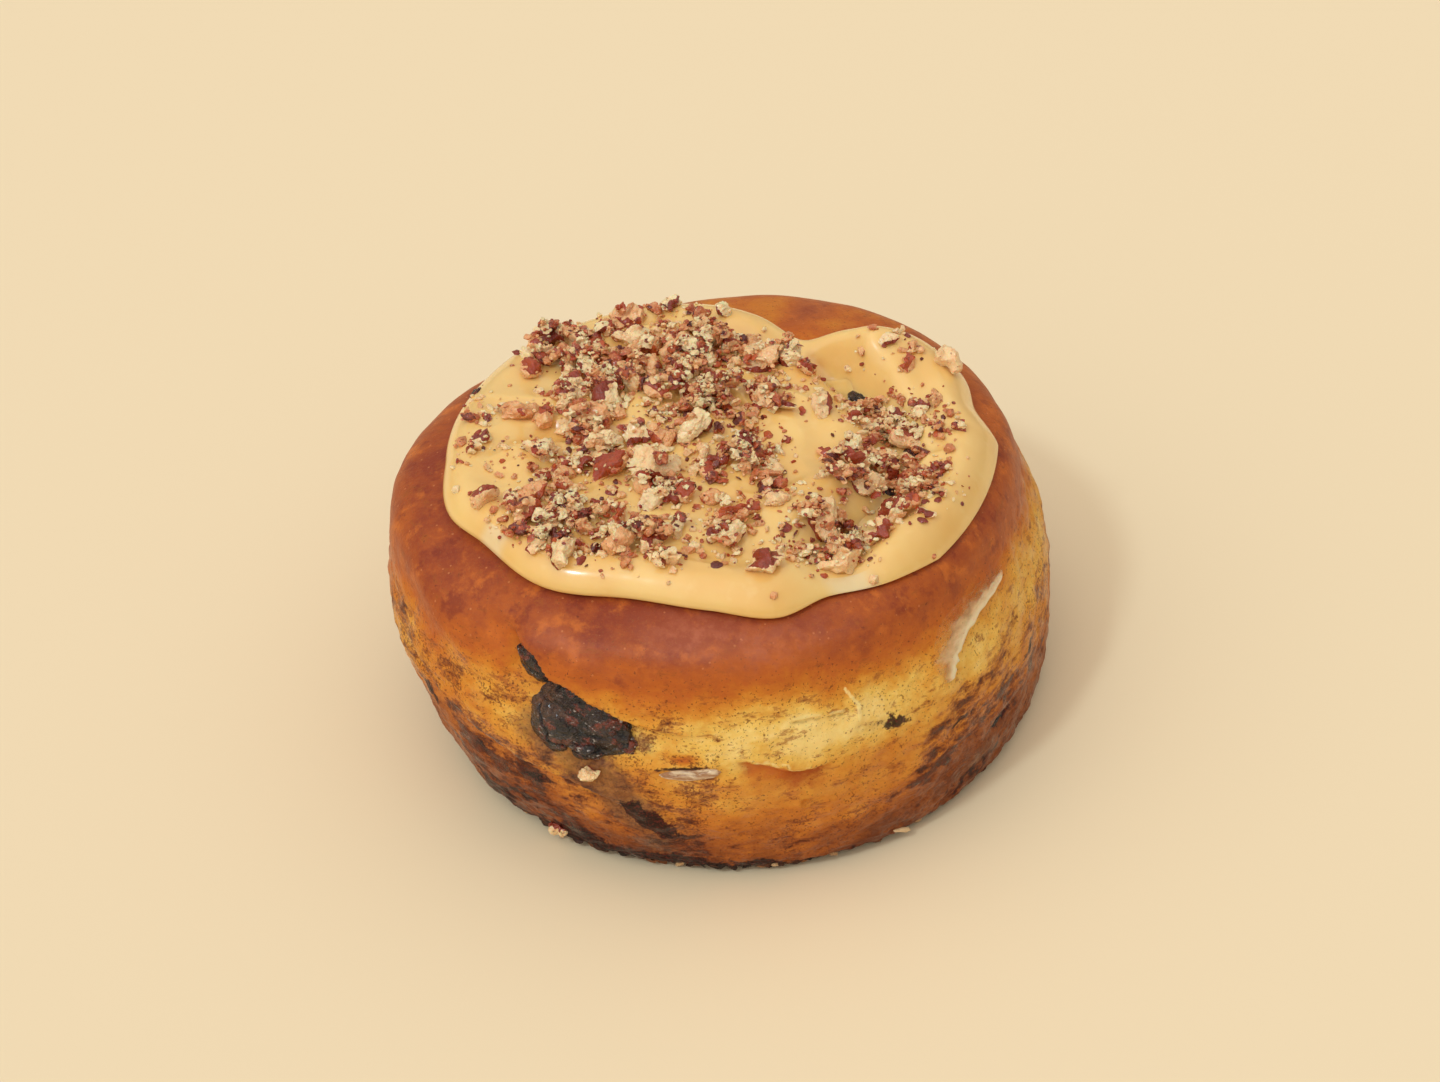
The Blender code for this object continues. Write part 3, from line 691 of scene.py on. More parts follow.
def trianglesOf(piece):
    return np.array([tuple(face.vertices) for face in piece.data.polygons])


def shutEnds(rings):
    # draws in both ends of a tube of rings to their middles
    ends = [np.repeat(end.mean(1, keepdims=True), rings.shape[1], axis=1) for end in (rings[:1], rings[-1:])]
    return np.concatenate([ends[0], rings, ends[1]])


def moved(points, matrix):
    grid = np.array(matrix)
    return points @ grid[:3, :3].T + grid[:3, 3]


def joinedCopies(name, shapes, places, finish, crease=38):
    # one mesh from copies of the shapes: places holds (shape number, matrix, tone)
    corners, faces, tones, skins = [], [], [], []
    start = 0
    for number, matrix, tone in places:
        points, triangles, skin = shapes[number]
        points = moved(points, matrix)
        points[:, 2] = np.maximum(points[:, 2], 0)  # nothing goes below the table
        corners.append(points)
        faces.append(triangles + start)
        tones.append(np.full(len(points), tone))
        skins.append(skin)
        start += len(points)
    data = bpy.data.meshes.new(name)
    data.from_pydata(np.concatenate(corners).tolist(), [], np.concatenate(faces).tolist())
    piece = bpy.data.objects.new(name, data)
    bpy.context.scene.collection.objects.link(piece)
    addMark(piece, "tone", np.concatenate(tones))
    addMark(piece, "skin", np.concatenate(skins))
    data.materials.append(finish)
    pick(piece)
    bpy.ops.object.shade_smooth_by_angle(angle=math.radians(crease))
    return piece


def belongs(piece, node):
    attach(piece, "root")
    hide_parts(node)


# dough

doughLook = {
    "columns": 500,
    "sideRows": 156,
    "baseRows": 26,
    "crownRows": 16,
    "slot": (1.2 * mm, 1.9 * mm),  # half widths of the spiral slot under the base
    # what the hidden base and the crown under the icing look like
    "underneath": {"bake": 0.85, "speck": 0.4, "burnt": 0.3},
    "crown": {"bake": 0.9},
    # how baked the crust is at each height, 0 unbaked to 1 dark
    "bake": [
        (-5, 1), (0, 0.97), (3, 0.88), (7, 0.72), (12, 0.58), (18, 0.5), (25, 0.45), (31, 0.43),
        (36, 0.48), (39, 0.56), (42, 0.66), (45, 0.76), (48, 0.86), (51, 0.92), (60, 0.94),
    ],
    "colours": [
        (0.0, paint(247, 212, 130)), (0.14, paint(239, 193, 94)), (0.3, paint(224, 156, 58)),
        (0.48, paint(206, 122, 38)), (0.66, paint(190, 98, 36)), (0.84, paint(168, 82, 38)),
        (1.0, paint(142, 62, 38)),
    ],
    # the lower side bakes yellower and browner
    "lowColours": [
        (0.0, paint(245, 208, 124)), (0.2, paint(234, 181, 84)), (0.4, paint(220, 150, 56)),
        (0.6, paint(204, 122, 42)), (0.8, paint(168, 92, 36)), (1.0, paint(116, 58, 28)),
    ],
    # the pale band round the side: angle, height, half width, how pale
    "pale": [
        (-180, 21, 7, 0.12), (-165, 26, 7, 0.14), (-150, 33, 6, 0.18), (-138, 33, 7, 0.2),
        (-118, 31.5, 6, 0.16), (-100, 32, 5.4, 0.22), (-88, 31, 6, 0.34), (-76, 31, 6.2, 0.45),
        (-62, 32, 5.6, 0.38), (-48, 33.2, 4.4, 0.24), (-24, 32.5, 6, 0.28), (-5, 32, 6.5, 0.2),
        (25, 28, 7, 0.18), (80, 29, 6, 0.24), (120, 24, 6, 0.2), (150, 22, 7, 0.16),
    ],
    # patches, as angle, height, width, height, turn and strength
    "darker": [
        (-140, 44, 12, 3.6, -14, 0.16), (-88, 11, 7, 4, 0, 0.1), (-172, 40, 12, 7, 0, 0.2),
        (-97, 29.2, 2, 0.8, 0, 0.5), (-90, 49.6, 22, 3.4, 0, 0.14), (-8, 41, 20, 4.6, 0, 0.2),
        (-120, 46.5, 7, 1.6, -20, 0.1), (-104, 41, 8, 2, -16, 0.12),
        (-140, 18, 18, 9, -12, 0.26), (-140, 33, 12, 5, -16, 0.2), (-44, 10, 24, 7, 8, 0.3),
        (-108, 8, 10, 5, 0, 0.16), (-128, 9, 16, 6, -8, 0.16), (98, 51, 4, 3, 20, 0.3),
        (84, 53, 3, 2, 0, 0.26), (66, 50, 4, 3, -10, 0.26),
    ],
    "paler": [
        (-76, 33, 7, 2.6, 0, 0.1), (-63, 34.6, 3.6, 2.4, 0, 0.1), (-92, 20, 5, 3, 0, 0.16),
        (-153, 37, 5, 3, -20, 0.1), (75, 52, 34, 6, 0, 0.42), (-128, 31, 7, 3, -20, 0.12),
        (-116, 12, 4, 2.4, -20, 0.14), (20, 50, 14, 5, 0, 0.1), (90, 54.4, 6, 1.6, 0, 0.24),
        (74, 55, 5, 1.6, 0, 0.24),
    ],
    "smear": [
        (-112, 22.5, 5, 5.6, 30, 1.3), (-108.6, 17, 4.6, 5, 40, 1.2), (-104.5, 31.4, 4, 2, -35, 0.7),
        (-106, 8, 4, 5, 0, 0.8), (-122.5, 30, 4, 4, -20, 0.7), (-62, 29.6, 5, 1.8, 0, 0.6),
        (-40, 8.5, 7, 2.6, 14, 0.9), (-100, 12, 3, 3, 0, 0.5), (-117, 28, 8, 5.4, 0, 0.6),
    ],
    "burnt": [
        (-105.6, 14.6, 5, 2.4, -50, 1.9), (-59, 28.8, 2.8, 1.3, -12, 1.4), (-30, 12.4, 4.6, 1, 6, 1.2),
        (-97, 27.4, 5.4, 0.6, 8, 1.2), (-139, 7, 5, 3, 0, 1.1), (-121, 5, 6, 2.4, 0, 1.1),
        (-88, 3, 4, 2, 0, 0.9), (-150, 22, 3, 1.4, -30, 1), (-17, 20, 5, 1.2, 20, 0.8),
        (-105, 4, 7, 2, 0, 1), (-137, 18.8, 3, 1, -12, 0.9), (-126, 17.6, 4, 1.1, -14, 1),
        (-44, 21, 4, 0.8, 14, 0.9), (-40, 6, 12, 2.6, 6, 0.7), (-132, 11, 5, 1.6, -10, 0.9),
    ],
    "jam": [
        (-138, 25.4, 6, 2.2, -12, 0.8), (-128, 22.4, 6, 2.1, -12, 0.8), (-118, 20, 4, 1.8, 0, 1),
        (-137, 18.8, 4, 2, -10, 0.9), (-127, 17.4, 6, 2, -14, 0.95), (-122, 6.5, 5, 4, -30, 1.1),
        (-143, 22, 4, 2, -20, 1), (-147, 29, 5, 2, -35, 1), (-154, 35, 3, 2, 0, 0.8),
        (-114, 12, 4, 2, 0, 0.9),
        (-130, 12, 7, 4, -10, 0.8), (-142, 15, 6, 4, -20, 0.8), (-101, 8, 6, 3, 0, 0.9),
        (-82, 8, 7, 3, 0, 0.6), (-50, 22, 6, 1.8, 14, 1), (-40, 25, 7, 1.6, 18, 1),
        (-54, 14, 8, 3.6, 10, 0.9), (-36, 18, 11, 6, 12, 0.8), (-14, 16, 12, 6, 12, 0.8),
        (-28, 27, 6, 2.4, 20, 0.8),
        (30, 18, 20, 6, 0, 0.6), (90, 16, 24, 6, 0, 0.6), (150, 14, 20, 5, 0, 0.6), (-170, 13, 14, 5, 0, 0.7),
    ],
    "wet": [
        (-147, 41, 9, 4, -15, 0.15), (-137, 37, 6, 3, -20, 0.5), (-90, 47, 22, 2.6, 0, 0.4),
        (-131, 24, 9, 4, -12, 0.8), (-104, 31, 5, 2.4, -30, 0.8), (-84, 21, 8, 4, 0, 0.5),
        (-124, 36, 4, 3, -30, 0.7), (-97, 24, 6, 2, -12, 0.9), (-30, 13, 8, 3, 8, 0.6),
    ],
    "cream": [(-62.5, 34.6, 2.8, 1.8, 20, 0.35)],
    "unspecked": [(-76, 32, 8, 4, 0, 0.6)],
    # where the painted shadow under the lip lies: angle, height, width, height
    "shadeUnderLip": (-113, 37.4, 8, 6),
    # where cinnamon specks lie: from this angle to that they begin, over these heights they end, strength
    "specked": [
        (-66, -46, 16, 26, 1), (-35, -10, 27, 34, 0.8), (-78, -102, 33, 42, 1), (0, 0.001, 24, 34, 1),
        (-200, -190, 12, 22, 0.75), (-200, -190, 38, 44, 0.34),
    ],
    "burntFoot": (-134, 42, 3, 3.6),  # angle, spread, height all round and how much more there
    # a painted highlight on the baked shoulder, as patches
    "paintedSheen": [(-93, 48.4, 9, 1.6, 0, 0.6), (-114, 46.4, 7, 1.4, -20, 0.4), (-76, 46.4, 14, 2.8, 0, 0.5)],
}


def paleBand(angle):
    table = doughLook["pale"]
    angles = [row[0] for row in table] + [table[0][0] + 360]
    rows = np.array([row[1:] for row in table] + [table[0][1:]])
    angle = (np.asarray(angle, float) + 180) % 360 - 180
    return [np.interp(angle, angles, rows[:, column]) for column in range(3)]


def speckAt(angle, height):
    turned, z = turnApart(angle, 0), height / mm
    speck = 0
    for begins, full, low, high, strength in doughLook["specked"]:
        speck = np.maximum(speck, strength * smooth(begins, full, turned) * (1 - smooth(low, high, z)))
    return speck * (1 - ovals(angle, height, doughLook["unspecked"]))


def bakeAt(angle, height, wander, speck):
    look = doughLook
    z = height / mm
    centre, wide, pale = paleBand(angle)
    bake = np.interp(z + wander, *zip(*look["bake"]))
    bake = bake - pale * np.exp(-np.abs((z + wander * 0.9 - centre) / wide) ** 2.4)
    bake = bake + ovals(angle, height, look["darker"]) - ovals(angle, height, look["paler"])
    # specked crust bakes darker, away from the front and near the foot
    aside = smooth(60, 100, np.abs(turnApart(angle, -85)) + 40 * (z < 16))
    return np.clip(bake + 0.14 * speck * aside, 0, 1)


def burntAndShadeAt(angle, height, wander):
    # burnt patches, the foot, and a painted shadow under the lip
    look = doughLook
    centre, spread, low, more = look["burntFoot"]
    foot = low + more * bump(turnApart(angle, centre), spread)
    burnt = ovals(angle, height, look["burnt"]) + 1.15 * (1 - smooth(0.4, foot, height / mm + 0.6 * wander))
    under = beside(sideLines["lip"], angle, height)[0] / mm
    # a painted shadow under the lip, laid into the burnt mark
    return burnt + 0.9 * bump(under + 1.4, 1.2) * oval(angle, height, *look["shadeUnderLip"])


def tornEdge(angle, height, points):
    # deep orange below a torn edge, fading downwards, and the pale rim above it
    apart, passed = beside(sideLines["ledge"], angle, height)
    apart = apart / mm + 1.1 * grainAt(points, 1.8 * mm, 5.0)
    shown = fadedEnds(passed, 0.2, 0.2)
    orange = 1.1 * smooth(0.35, -0.25, apart) * bump(np.minimum(apart, 0), 4.2) * shown
    return orange, 0.7 * bump(apart - 0.6, 0.45) * shown


def doughMarks(angle, height, points):
    # how baked, specked, burnt, creamy and so on each place on the side is
    wander = grainAt(points, 16 * mm, 3.0) * 2.4 + grainAt(points, 5 * mm, 9.0) * 1.3
    speck = speckAt(angle, height)
    orange, rim = tornEdge(angle, height, points)
    crack, opened = crackAt(angle, height, 0.1)
    flake = beside(sideLines["flake"], angle, height)[0] / mm
    cream = ovals(angle, height, doughLook["cream"]) + 0.9 * bump(flake, 0.4) + rim
    cream = cream + opened * (0.8 * bump(crack - 0.8, 0.5) + 0.6 * bump(crack + 0.8, 0.4))
    marks = {
        "bake": bakeAt(angle, height, wander, speck),
        "low": 1 - smooth(20, 36, height / mm + 3 * bump(turnApart(angle, -80), 40)),
        "speck": speck,
        "burnt": burntAndShadeAt(angle, height, wander),
        "cream": cream,
        "caramel": orange,
        "gap": opened * bump(crack, 0.34),
    }
    for name in ("smear", "jam", "wet", "paintedSheen"):
        marks[name] = ovals(angle, height, doughLook[name])
    return marks


def unevenAngles(count):
    # closer together across the front
    fine = np.linspace(-180, 180, 721)
    closeness = 1 + 1.5 * bump(turnApart(fine, -85), 64)
    counted = np.concatenate([[0], np.cumsum((closeness[1:] + closeness[:-1]) / 2)])
    return np.interp(np.arange(count) / count * counted[-1], counted, fine)


def baseSlot(angles, radius):
    # heights of the base, where the filling's slot runs round it
    running = turnApart(angles, 0)
    slot = 0
    for turns in (0, 1, 2):
        if turns == 0:
            seam, opened = tailRadius(running), smooth(-96, -80, running)
        else:
            seam = seamRadius(running + 360 * turns)
            opened = smooth(3 * mm, 5 * mm, seam)
        across = smooth(*doughLook["slot"], np.abs(radius - seam))
        slot = np.maximum(slot, opened * (1 - across))
    return 1.2 * mm * slot


def makeDough():
    look = doughLook
    angles = unevenAngles(look["columns"])[None, :]
    base = np.linspace(0, 1, look["baseRows"])[:, None]
    radius = outlineAt(rollShape["baseEdge"])[0] * stretchAt(angles) * base
    under = leaning(angles, radius, baseSlot(angles, radius))
    last = np.interp(icingEdge(angles) / stretchAt(angles), crownRadii, crownPlaces)
    share = np.linspace(0, 1, look["sideRows"])[1:, None]
    place = rollShape["baseEdge"] + (last - rollShape["baseEdge"]) * share
    side = crustPoint(angles, place)
    inner = np.linspace(1, 0, look["crownRows"])[:, None]
    crown = crownPoint(angles, (icingEdge(angles) - icingShape["contactIn"]) * inner)
    marks = doughMarks(angles + 0 * place, outlineAt(place)[1] + 0 * angles, side)
    whole = {}
    for name, values in marks.items():
        low = np.full(under.shape[:2], look["underneath"].get(name, 0.0))
        high = np.full(crown.shape[:2], look["crown"].get(name, 0.0))
        whole[name] = np.concatenate([low, values, high])
    dough = wrappedGrid("doughCrust", np.concatenate([under, side, crown]), whole)
    dough.data.materials.append(crustFinish(list(marks)))
    return dough


def bakedTones(place, marks, grains):
    # what the oven gave: mottling and tiny pale blisters where the crust is well browned
    streak = grains["lying"].grain(3.4 * mm, 4, 0.6)
    level = marks["bake"] + (grains["blotch"] - 0.5) * 0.58 + (grains["fine"] - 0.5) * 0.2
    level = (level + (streak - 0.5) * 0.24).clamped()
    colour = marks["low"].mix(level.ramp(doughLook["colours"]), level.ramp(doughLook["lowColours"]))
    brown = marks["brown"]
    return colour.under(
        (grains["bruise"].between(0.52, 0.66) * brown, 0.65, paint(128, 52, 34)),
        (place.grain(5 * mm, 4, 0.6).between(0.52, 0.68) * brown, 0.65, paint(212, 116, 46)),
        (grains["grit"].between(0.58, 0.72) * brown, 0.45, paint(218, 130, 76)),
        (place.dots(1.2 * mm, 0.3, 0.2) * brown, 0.45, paint(218, 140, 86)),
    )


def cinnamonOver(colour, place, marks, grains, blots, dense):
    # brown blotches of every size, darker towards their middles, and single specks
    sticky = grains["fine"].between(0.4, 0.6).mix(paint(56, 24, 16), paint(104, 42, 22))
    return colour.under(
        (blots.between(0.58, 0.64), 0.6, paint(158, 84, 36)),
        (blots.between(0.66, 0.71), 0.75, paint(112, 50, 24)),
        (marks["sticky"], 0.85, sticky),
        ((grains["grit"] + dense * 0.13).between(0.63, 0.68), 0.7, paint(104, 48, 22)),
        (place.dots(0.75 * mm, dense * 0.42 + 0.02, 0.3), 0.7, paint(112, 52, 22)),
    )


def stainsOver(colour, place, marks, grains):
    # torn and creamy dough, smeared filling, burnt patches with a painted shadow under the lip, and a painted
    # sheen on the shoulder
    fine = grains["fine"]
    orange = marks["caramel"] + (place.grain(2 * mm, 5, 0.65) - 0.5) * 1.2
    deep = grains["blotch"].between(0.4, 0.6).mix(paint(170, 72, 16), paint(200, 104, 34))
    cream = marks["cream"] + (fine - 0.5) * 0.6
    smear = marks["smear"] + (place.grain(3 * mm, 5, 0.65) - 0.5) * 1.2
    film = fine.between(0.4, 0.65).mix(paint(96, 60, 44), paint(146, 98, 60))
    # burnt patches and the painted shadow under the lip go near black
    burnt = marks["burnt"] + (place.grain(1.8 * mm, 6, 0.72) - 0.5) * 3
    char = grains["grit"].between(0.48, 0.66).mix(paint(26, 8, 12), paint(92, 34, 26))
    # a painted highlight: the shoulder is lightened where it would shine
    paintedSheen = marks["paintedSheen"] * (0.3 + grains["bruise"].between(0.4, 0.65) * 0.5)
    return colour.under(
        (orange.between(0.1, 1.1), 0.9, deep),
        (cream.between(0.35, 0.7), 0.7, paint(250, 224, 150)),
        (marks["gap"].between(0.35, 0.8), 0.7, paint(200, 168, 98)),
        (smear.between(0.2, 1.1), 0.76, film),
        (burnt.between(0.45, 0.75), 0.95, char),
        (paintedSheen, 1.0, paint(210, 124, 88)),
    )


def crustFinish(markNames):
    material, shader, place = startFinish(
        "crustFinish", Subsurface_Weight=0.12, Subsurface_Scale=0.0012, Specular_IOR_Level=0.16,
        Coat_Roughness=0.14,
    )
    shader.inputs["Subsurface Radius"].default_value = (1.0, 0.4, 0.12)
    lying = place.scaled(1, 1, 2.4)
    fine, grit = place.grain(1.1 * mm, 3, 0.65), place.grain(0.45 * mm, 3, 0.6)
    blotch, bruise = place.grain(7 * mm, 4, 0.6), place.grain(3.4 * mm, 5, 0.62)
    grains = {"lying": lying, "fine": fine, "grit": grit, "blotch": blotch, "bruise": bruise}
    marks = {name: place.reads(name) for name in markNames}
    speck = marks["speck"]
    brown = marks["brown"] = marks["bake"].between(0.55, 0.85) * (1 - marks["low"])
    # cinnamon lies in clouds, and sets sticky where it is thickest
    dense = speck * (0.2 + place.grain(6 * mm, 4, 0.62).between(0.38, 0.62) * 0.8)
    blots = lying.grain(4.2 * mm, 7, 0.74) + dense * 0.14 + marks["jam"] * 0.17
    sticky = marks["sticky"] = blots.between(0.73, 0.79)
    colour = bakedTones(place, marks, grains)
    colour = cinnamonOver(colour, place, marks, grains, blots, dense)
    drive(shader, "Base Color", stainsOver(colour, place, marks, grains))
    # sticky places shine in small glints
    glints = place.grain(4 * mm, 3, 0.6).between(0.45, 0.62) * speck.between(0.1, 0.5)
    wet = (marks["wet"].between(0.15, 0.9) + glints * 0.6 + sticky * 0.4).clamped()
    drive(shader, "Roughness", 0.5 - brown * 0.06 - wet * 0.26 + (fine - 0.5) * 0.2)
    drive(shader, "Coat Weight", wet * 0.5)
    ripples = lying.grain(1.8 * mm, 3, 0.55) * wet
    height = fine * (0.2 + speck * 0.3) + grit * (0.22 + speck * 0.2) + ripples * 0.8 + sticky * 0.35
    bumped(shader, height, 0.3 * mm, 0.9)
    return material


# torn flap: a thin peeled strip of the pale skin that lies along the right of the front

flapLook = {
    "widths": [0.8, 2.6, 3.6, 5, 6, 5.6, 4.4, 1.5],  # at the points of its line
    "ragged": (0.16, 0.28),  # how quickly and how far its edges wander
    "thick": 0.45 * mm,
    "above": 0.42 * mm,
    "sunk": 0.9 * mm,
    "rows": 90,
    "columns": 20,
}


def flapRings():
    # rings of points round the strip, and how crisp it is at each of them
    look = flapLook
    line = sideLines["flap"]
    along = np.linspace(0, len(line) - 1, look["rows"])
    middle = alongSpline(line, along)
    half = np.interp(along, range(len(line)), look["widths"]) * mm / 2
    step = np.gradient(middle, axis=0)
    arc, rise = np.radians(step[:, 0]) * rollShape["belly"], step[:, 1] * mm
    long = np.hypot(arc, rise)
    turn = np.linspace(0, 2 * math.pi, look["columns"], endpoint=False)
    across = np.cos(turn)[None, :] * half[:, None]
    quick, far = look["ragged"]
    rows = range(look["rows"])
    ragged = np.array([[noise.noise((row * quick, side, 0.0)) for side in (0, 9)] for row in rows])
    across = across * (1 + far * np.where(across > 0, ragged[:, :1], ragged[:, 1:]))
    angle = middle[:, :1] + np.degrees(across * (rise / long)[:, None] / rollShape["belly"])
    height = middle[:, 1:] * mm - across * (arc / long)[:, None]
    side = sidePoint(angle, np.interp(height, sideHeights, sidePlaces))
    # thick at its lower right edge, thin at its upper left, where it fades into the crust
    crisp = 0.5 - 0.5 * np.cos(turn)[None, :] + 0 * along[:, None]
    top = np.maximum(np.sin(turn), 0)[None, :] ** 0.5 * look["thick"] * (0.3 + 0.7 * crisp)
    lift = np.where(np.sin(turn)[None, :] > 0, top, -look["sunk"] * np.abs(np.sin(turn))[None, :])
    ends = (smooth(0, 0.6, along) * (1 - smooth(len(line) - 1.5, len(line) - 1, along)))[:, None]
    return side + outwards(angle) * ((lift + look["above"]) * ends)[..., None], crisp * ends


def makeFlap():
    rings, crisp = flapRings()
    flap = wrappedGrid("tornFlap", shutEnds(rings), {"crisp": np.pad(crisp, ((1, 1), (0, 0)))})
    flap.data.materials.append(flapFinish())
    return flap


def flapFinish():
    material, shader, place = startFinish(
        "flapFinish", Subsurface_Weight=0.3, Subsurface_Scale=0.002, Specular_IOR_Level=0.4
    )
    streak = place.scaled(0.5, 0.5, 1).grain(1.6 * mm, 4, 0.6)
    crisp = place.reads("crisp")
    colour = (crisp + (streak - 0.5) * 0.6).between(0.5, 0.95).mix(paint(230, 190, 140), paint(250, 232, 194))
    drive(shader, "Base Color", colour.under((place.flecks(0.5 * mm, 0.12), 0.7, paint(140, 78, 40))))
    drive(shader, "Alpha", 0.05 + (crisp + (streak - 0.5) * 1.1).between(0, 0.75) * 0.82)
    drive(shader, "Roughness", 0.3 + streak * 0.2)
    bumped(shader, streak, 0.15 * mm)
    return material


# burnt flakes and shreds round the foot

flakeLook = {
    "count": 110,
    "seed": 23,
    "front": (-138, -72),  # two in three lie between these angles
    "length": (0.9, 2.6),  # in mm
    "height": (0.5, 2.2),
    "width": (0.35, 0.6),  # as a share of the length
    "thick": 0.3,
    "turn": (50, 130),
    "proud": (-0.1, 0.25),
    "tilt": 0.7,
    "shred": (-60, 2.6, 70, 0.5),  # the pale one at the right: angle, height, turn, how proud
    "shredSize": (0.9 * mm, 3.6 * mm, 0.8 * mm, 1),
    "colours": [
        (0.0, paint(38, 24, 19)), (0.45, paint(92, 50, 30)), (0.75, paint(160, 98, 54)),
        (1.0, paint(226, 190, 140)),
    ],
}


def makeFlakes():
    look = flakeLook
    draw = random.Random(look["seed"])
    shapes = [sliverShape(200 + number) for number in range(6)]
    places = []
    for index in range(look["count"]):
        angle = draw.uniform(*look["front"]) if index % 3 else draw.uniform(-180, 180)
        length = draw.uniform(*look["length"]) * mm
        height = draw.uniform(*look["height"])
        where = onSide(angle, height, draw.uniform(*look["turn"]), draw.uniform(*look["proud"]))
        tilted = where @ Matrix.Rotation(draw.uniform(-look["tilt"], look["tilt"]), 4, "Y")
        size = Matrix.Diagonal((length * draw.uniform(*look["width"]), length, length * look["thick"], 1))
        places.append((draw.randrange(len(shapes)), tilted @ size, draw.random() ** 2))
    shred = onSide(*look["shred"]) @ Matrix.Rotation(0.8, 4, "Y") @ Matrix.Diagonal(look["shredSize"])
    places.append((0, shred, 1.0))
    return joinedCopies("footFlakes", shapes, places, flakeFinish())


def flakeFinish():
    material, shader, place = startFinish("flakeFinish", Specular_IOR_Level=0.3)
    tone = place.reads("tone") + (place.grain(0.8 * mm, 3) - 0.5) * 0.4
    drive(shader, "Base Color", tone.clamped().ramp(flakeLook["colours"]))
    drive(shader, "Roughness", 0.45 + place.grain(0.6 * mm) * 0.2)
    bumped(shader, place.grain(0.4 * mm, 3), 0.15 * mm)
    return material


# chocolate

chocolateLook = {
    # angle, height, length, width, depth in mm, turn, roughness of shape
    "lumps": [
        (-115.2, 32, 19, 13.4, 7.6, 78, 0.12),
        (-119, 30.8, 10.4, 9.8, 7, 20, 0.1),
        (-122.6, 41, 8.6, 6.4, 5.8, 32, 0.14),
        (-114, 28.2, 7, 4.6, 5.4, 84, 0.18),
        (-109.2, 31.2, 9, 6.4, 6.4, 66, 0.22),
        (-112, 34.4, 5.4, 3.6, 7, 40, 0.2),
        (-106.6, 30.2, 4.4, 3.4, 4.4, 70, 0.2),
        (-30.6, 12, 6.4, 1.6, 1.8, -72, 0.3),
    ],
    "sunk": 0.2,
    "veiled": 2,  # the first lumps, whose upper left ends lie under a film of dough
    "syrup": (-96.8, 25.9, 10.4, 3.2, 2, 98, 0.1),
    "ribbon": 2.2 * mm,
    # dark chocolate that wells up through the crown's seam: x, y and size in mm
    "pits": [(25.3, 15.6, 5.2), (34, -1.6, 4.4), (29.6, -10.4, 4), (22, -20.6, 3.4), (-36.6, 11.2, 2.6)],
    "pitShape": (1, 0.75, 0.55),
    "pitSunk": 0.12,
}


def ribbonPlaces():
    # rings of four corners along the wound strip of filling
    start = 360 * (seamRadius(0) - seamShape["start"]) / seamShape["pitch"]
    angles = np.arange(start, seamShape["tail"][1] - 3, -6)
    radius = tailRadius(angles)
    openTop = smooth(-78, -58, angles)
    surface = crownHeight(angles, np.minimum(radius, icingEdge(angles) - icingShape["contactIn"]))
    top = surface - 0.7 * mm * openTop - 9 * mm * (1 - openTop)
    low = 0.8 * mm + 12 * mm * (1 - smooth(-96, -76, angles))
    half = chocolateLook["ribbon"] / 2
    corners = [
        leaning(angles, radius - half, low), leaning(angles, radius + half, low),
        leaning(angles, radius + half, top), leaning(angles, radius - half, top),
    ]
    return np.stack(corners, axis=1)


def makeRibbon():
    return wrappedGrid("fillingRibbon", shutEnds(ribbonPlaces()))


def makeLump(name, matrix, size, seed, rough, veiled=0.0):
    # a melted lump: a ball pulled about by noise, cracked, squashed and set in place
    lump = added(bpy.ops.mesh.primitive_ico_sphere_add, subdivisions=6, radius=0.5)
    lump.name = lump.data.name = name
    points = pointsOf(lump)
    swell = 1 + rough * (grainAt(points, 0.4, seed) + 0.5 * grainAt(points, 0.15, seed + 4))
    swell = swell + 0.02 * np.abs(grainAt(points, 0.07, seed + 6))
    line = points[:, 0] + 0.35 * points[:, 1] + 0.16 * grainAt(points, 0.22, seed + 8)
    crack = bump(line - 0.02, 0.022) * smooth(-0.1, 0.2, points[:, 2])
    addMark(lump, "veiled", veiled * smooth(0, 0.4, points[:, 1]))
    addMark(lump, "crack", crack)
    points = moved(points * (swell - 0.12 * crack)[:, None] * np.array(size) * mm, matrix)
    lump.data.vertices.foreach_set("co", points.ravel())
    pick(lump)
    bpy.ops.object.shade_smooth()
    return lump


def lumpOnSide(name, spot, seed, sunk=0.0, veiled=0.0):
    angle, height, length, width, depth, turn, rough = spot
    where = onSide(angle, height, turn, -depth * sunk)
    return makeLump(name, where, (width, length, depth), seed, rough, veiled)


def lumpInIcing(name, spot, seed, turn):
    x, y, size = spot
    point, normal = icingFrame(x * mm, y * mm)
    where = facing(point - normal * size * chocolateLook["pitSunk"] * mm, normal, turn)
    return makeLump(name, where, [size * share for share in chocolateLook["pitShape"]], seed, 0.25)


